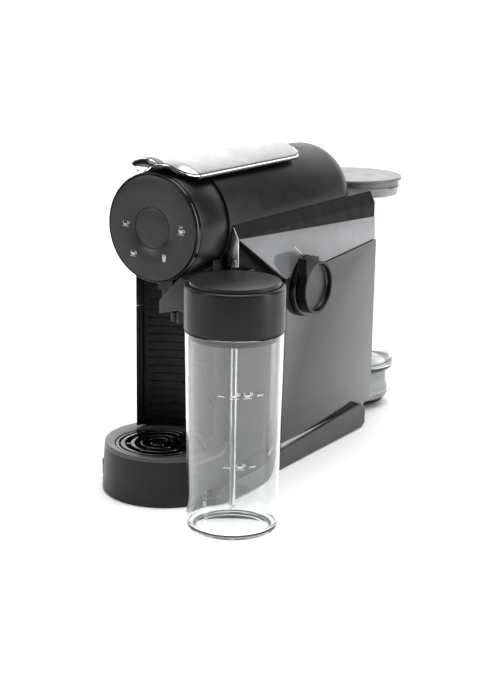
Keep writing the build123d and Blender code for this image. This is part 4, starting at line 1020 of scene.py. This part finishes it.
# %% Tank wall, lid and plug ring
TANK_R, TANK_T, TANK_LOW, TANK_FLOOR, TANK_TOP = 45.2, 2.4, 14.0, 40.0, 211.0
VALVE_HOLE_R = 7.2
TANK_FOOT = Vector((TANK.x, TANK.y, 0))
wall_in, floor_low = TANK_R - TANK_T, TANK_FLOOR - TANK_T
tank = lathe("tank_wall", [
    (VALVE_HOLE_R, floor_low), (wall_in - 1.4, floor_low), (wall_in - 1, floor_low - 0.4),
    (wall_in - 1, TANK_LOW + 0.4), (wall_in - 0.6, TANK_LOW), (TANK_R - 1.4, TANK_LOW),
    (TANK_R - 1, TANK_LOW + 0.4), (TANK_R - 0.02, TANK_TOP - 0.4), (TANK_R - 0.4, TANK_TOP),
    (wall_in + 0.4, TANK_TOP), (wall_in, TANK_TOP - 0.4), (wall_in - 0.8, TANK_FLOOR + 7),
    *arc((wall_in - 7.3, TANK_FLOOR + 6.5), 6.5, -5, -85, 6), (VALVE_HOLE_R, TANK_FLOOR),
    (VALVE_HOLE_R, floor_low),
], 160)
place(tank, TANK_FOOT)
finish(tank, "tank", tank_clear, ["water_tank"])

LID_EDGE_R, TANK_LID_TOP, LID_T = 45.5, 219.0, 3.1
tank_cap = lathe("tank_cap", [
    (0, TANK_LID_TOP - LID_T), (LID_EDGE_R - 0.6, TANK_LID_TOP - LID_T), (LID_EDGE_R, TANK_LID_TOP - 2.5),
    *arc((LID_EDGE_R - 1.2, TANK_LID_TOP - 1.2), 1.2, 0, 90, 5), (42, TANK_LID_TOP - 0.1),
    (0, TANK_LID_TOP - 0.1),
], 160)
place(tank_cap, TANK_FOOT)
finish(tank_cap, "tank_cover", lid_grey, ["tank_lid"])

plug_r, plug_low, plug_top = wall_in - 0.4, TANK_TOP - 7.9, TANK_LID_TOP - 3.2
plug = lathe("tank_plug_ring", [
    (plug_r - 2.4, plug_low), (plug_r - 0.8, plug_low), (plug_r - 0.05, plug_low + 1.1),
    (plug_r - 0.05, plug_top), (plug_r - 2.4, plug_top), (plug_r - 2.4, plug_low),
], 144)
place(plug, TANK_FOOT)
finish(plug, "tank_cover", dock_grey, ["tank_plug"])

dock = lathe("dock_housing", [
    (0, 9), (39.4, 9), (39.9, 9.6), (39.9, 17.4), (39.2, 18), (38.4, 18), (38, 18.6), (38, 30.4),
    (37.4, 31), (31, 31), (30.4, 31.6), (30.4, 35.4), (29.8, 36), (6.9, 36), (6.9, 22), (0, 22),
], 144)
round_edges(dock, 0.3, 2)
place(dock, TANK_FOOT)
finish(dock, "machine", dock_grey, ["tank_dock"])

# %% [markdown]
# ## Steel strip
# Right of the column a strip of stainless steel rises into a roof-shaped top under the head, brushed
# upright and held by one rivet. The brushing lines come from the material; the fine bright border comes
# from rounded edges.

# %% Steel strip and rivet
STEEL_LEFT, STEEL_RIGHT, STEEL_LOW, STEEL_TOP, STEEL_T, STEEL_Y = 39.6, 49.7, 182.1, 212.9, 1.3, 45.0
HEAD_CLEAR_R = 44.4
strip = plate("steel_plate", [
    (STEEL_LEFT, STEEL_LOW), (STEEL_RIGHT, STEEL_LOW), (STEEL_RIGHT, 203.8), (45.1, STEEL_TOP),
    (43.7, STEEL_TOP), (STEEL_LEFT, 206.4), (STEEL_LEFT, STEEL_LOW),
], STEEL_T)
place(strip, at(0, STEEL_Y, 0), FRONT, RIGHT)
barrel = drum("barrel", HEAD_CLEAR_R, 20, 70, 144)
place(barrel, at(0, 0, HEAD_Z), BACK)
cut(strip, barrel)
rivet = lathe("rivet", [(0, 0), (1.6, 0), (1.6, 0.3), (1.2, 0.8), (0, 1.0)], 32)
place(rivet, at(47.2, 43.75, 186), FRONT)
round_edges(strip, 0.35, 2)
finish(join("steel_plate", [strip, rivet]), "machine", brushed_steel, ["steel_strip"])

# %% [markdown]
# ## Finishes on the CAD pieces
# The pieces whose CAD shape is already right stay as they are and only get their material. One table says
# which finish each of them has on the real machine.

# %% Materials for the carried-over nodes
FINISHES = {
    soft_black: ("steam_port", "lid_inlet", "coffee_spout"),
    deep_black: ("main_casing", "lever_frame", "capsule_guide", "rear_cover", "tank_bracket"),
    rib_black: ("column_cap", "capsule_bin"),
    skirt_grey: ("base_frame",),
    rubber_black: ("rubber_feet", "cord_gland", "pump_mounts"),
    chassis_plastic: ("inner_chassis", "knob_shaft", "milk_valve", "pump"),
    aluminium_cast: ("brew_frame", "brew_chamber", "thermoblock"),
    brushed_steel: ("base_screws", "rear_screws", "lever_pin", "lever_hinge", "brew_piston"),
    silicone: ("steam_hose", "water_hose", "tank_valve"),
    board_green: ("control_board", "power_board"),
}
for material, names in FINISHES.items():
    for name in names:
        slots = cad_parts[name].data.materials
        slots.clear()
        slots.append(material)
finished = [name for names in FINISHES.values() for name in names]
bare = [name for name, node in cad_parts.items() if not node.hide_render and name not in finished]
print("nodes left bare:", bare)

# %% [markdown]
# ## Studio
# A matt white floor and a glowing white wall behind make the bright background. Polished black plastic
# shows little but what it mirrors, so the room in front is dim and its few panels are placed for their
# reflections: a huge one overhead, a tall strip behind to the right for the streak on the lid, and a weak
# one at the front left.

# %% Floor and back wall
FLOOR_SIZE, FLOOR_CLOUDS, WALL_CLOUDS = 14, 1.2, 0.8
WALL_AWAY, WALL_WIDTH, WALL_RISE, WALL_GLOW = 3.0, 8.0, 3.4, 1.05
bpy.ops.object.select_all(action="DESELECT")
bpy.ops.mesh.primitive_plane_add(size=FLOOR_SIZE, location=(0, 0, 0))
floor = bpy.context.object
floor.name = "floor"
floor_paint, shader = new_material("matt_white_paint", Specular_IOR_Level=0.2)
coords = add(floor_paint, "TexCoord").outputs["Object"]
cloud = noise(floor_paint, coords, FLOOR_CLOUDS, 2.0)
link(floor_paint, two_tone(floor_paint, cloud, "#f3f3f3", "#f7f7f7"), shader, "Base Color")
link(floor_paint, spread(floor_paint, cloud, 0.7, 0.8), shader, "Roughness")
floor.data.materials.append(floor_paint)

away = Vector((-math.sin(VIEW_AZIMUTH), math.cos(VIEW_AZIMUTH), 0))
bpy.ops.mesh.primitive_plane_add(
    size=1, location=away * WALL_AWAY + UP * WALL_RISE / 2, rotation=(math.pi / 2, 0, VIEW_AZIMUTH),
)
wall = bpy.context.object
wall.name = "back_wall"
wall.scale = (WALL_WIDTH, WALL_RISE, 1)
bpy.ops.object.transform_apply(location=True, rotation=True, scale=True)
wall_light, shader = new_material("glowing_white_wall", Emission_Strength=WALL_GLOW)
coords = add(wall_light, "TexCoord").outputs["Object"]
cloud = noise(wall_light, coords, WALL_CLOUDS, 1.0)
link(wall_light, two_tone(wall_light, cloud, "#fcfcfc", "#ffffff"), shader, "Emission Color")
wall.data.materials.append(wall_light)

# %% Lights
ROOM_GLOW = 0.16
world = bpy.data.worlds.new("dim_room")
bpy.context.scene.world = world
world.use_nodes = True
room = world.node_tree.nodes["Background"]
room.inputs["Color"].default_value = (1, 1, 1, 1)
room.inputs["Strength"].default_value = ROOM_GLOW


def softbox(name, where, target, width, height, power):
    """A rectangular area light that points at a target."""
    light = bpy.data.lights.new(name, "AREA")
    light.shape = "RECTANGLE"
    light.size, light.size_y, light.energy = width, height, power
    lamp = bpy.data.objects.new(name, light)
    bpy.context.scene.collection.objects.link(lamp)
    lamp.location = where
    lamp.rotation_mode = "QUATERNION"
    lamp.rotation_quaternion = (Vector(target) - Vector(where)).to_track_quat("-Z", "Y")
    return lamp


MIDDLE = Vector((0, 0, 0.13))
softbox("overhead", (0, 0.2, 4.0), MIDDLE, 4.2, 4.2, 225)
softbox("right_strip", (1.54, 0.46, 0.7), MIDDLE, 0.35, 1.5, 14)
softbox("front_left", (-0.95, -1.45, 0.8), MIDDLE, 0.5, 1.2, 7)
print("lights:", len(bpy.data.lights))

# %% [markdown]
# ## Camera
# The camera looks from the front right and a little above. It stands at a measured place and is turned by
# two angles and a very slight roll. Its lens is long, which keeps the upright edges upright.

# %% Camera
ELEVATION, ROLL = math.radians(15.32), math.radians(0.97)
EYE, LENS, FAR_CLIP = at(663.4, -882.5, 421.0), 75.7, 50
level = math.cos(ELEVATION)
back = Vector((math.sin(VIEW_AZIMUTH) * level, -math.cos(VIEW_AZIMUTH) * level, math.sin(ELEVATION)))
camera = bpy.data.objects.new("camera", bpy.data.cameras.new("camera"))
bpy.context.scene.collection.objects.link(camera)
camera.rotation_mode = "QUATERNION"
camera.rotation_quaternion = Quaternion(back, ROLL) @ (-back).to_track_quat("-Z", "Y")
camera.location = EYE
camera.data.lens = LENS
camera.data.clip_end = FAR_CLIP
bpy.context.scene.camera = camera
bpy.context.scene.view_settings.view_transform = "Standard"
print("camera at", [round(v, 3) for v in EYE])
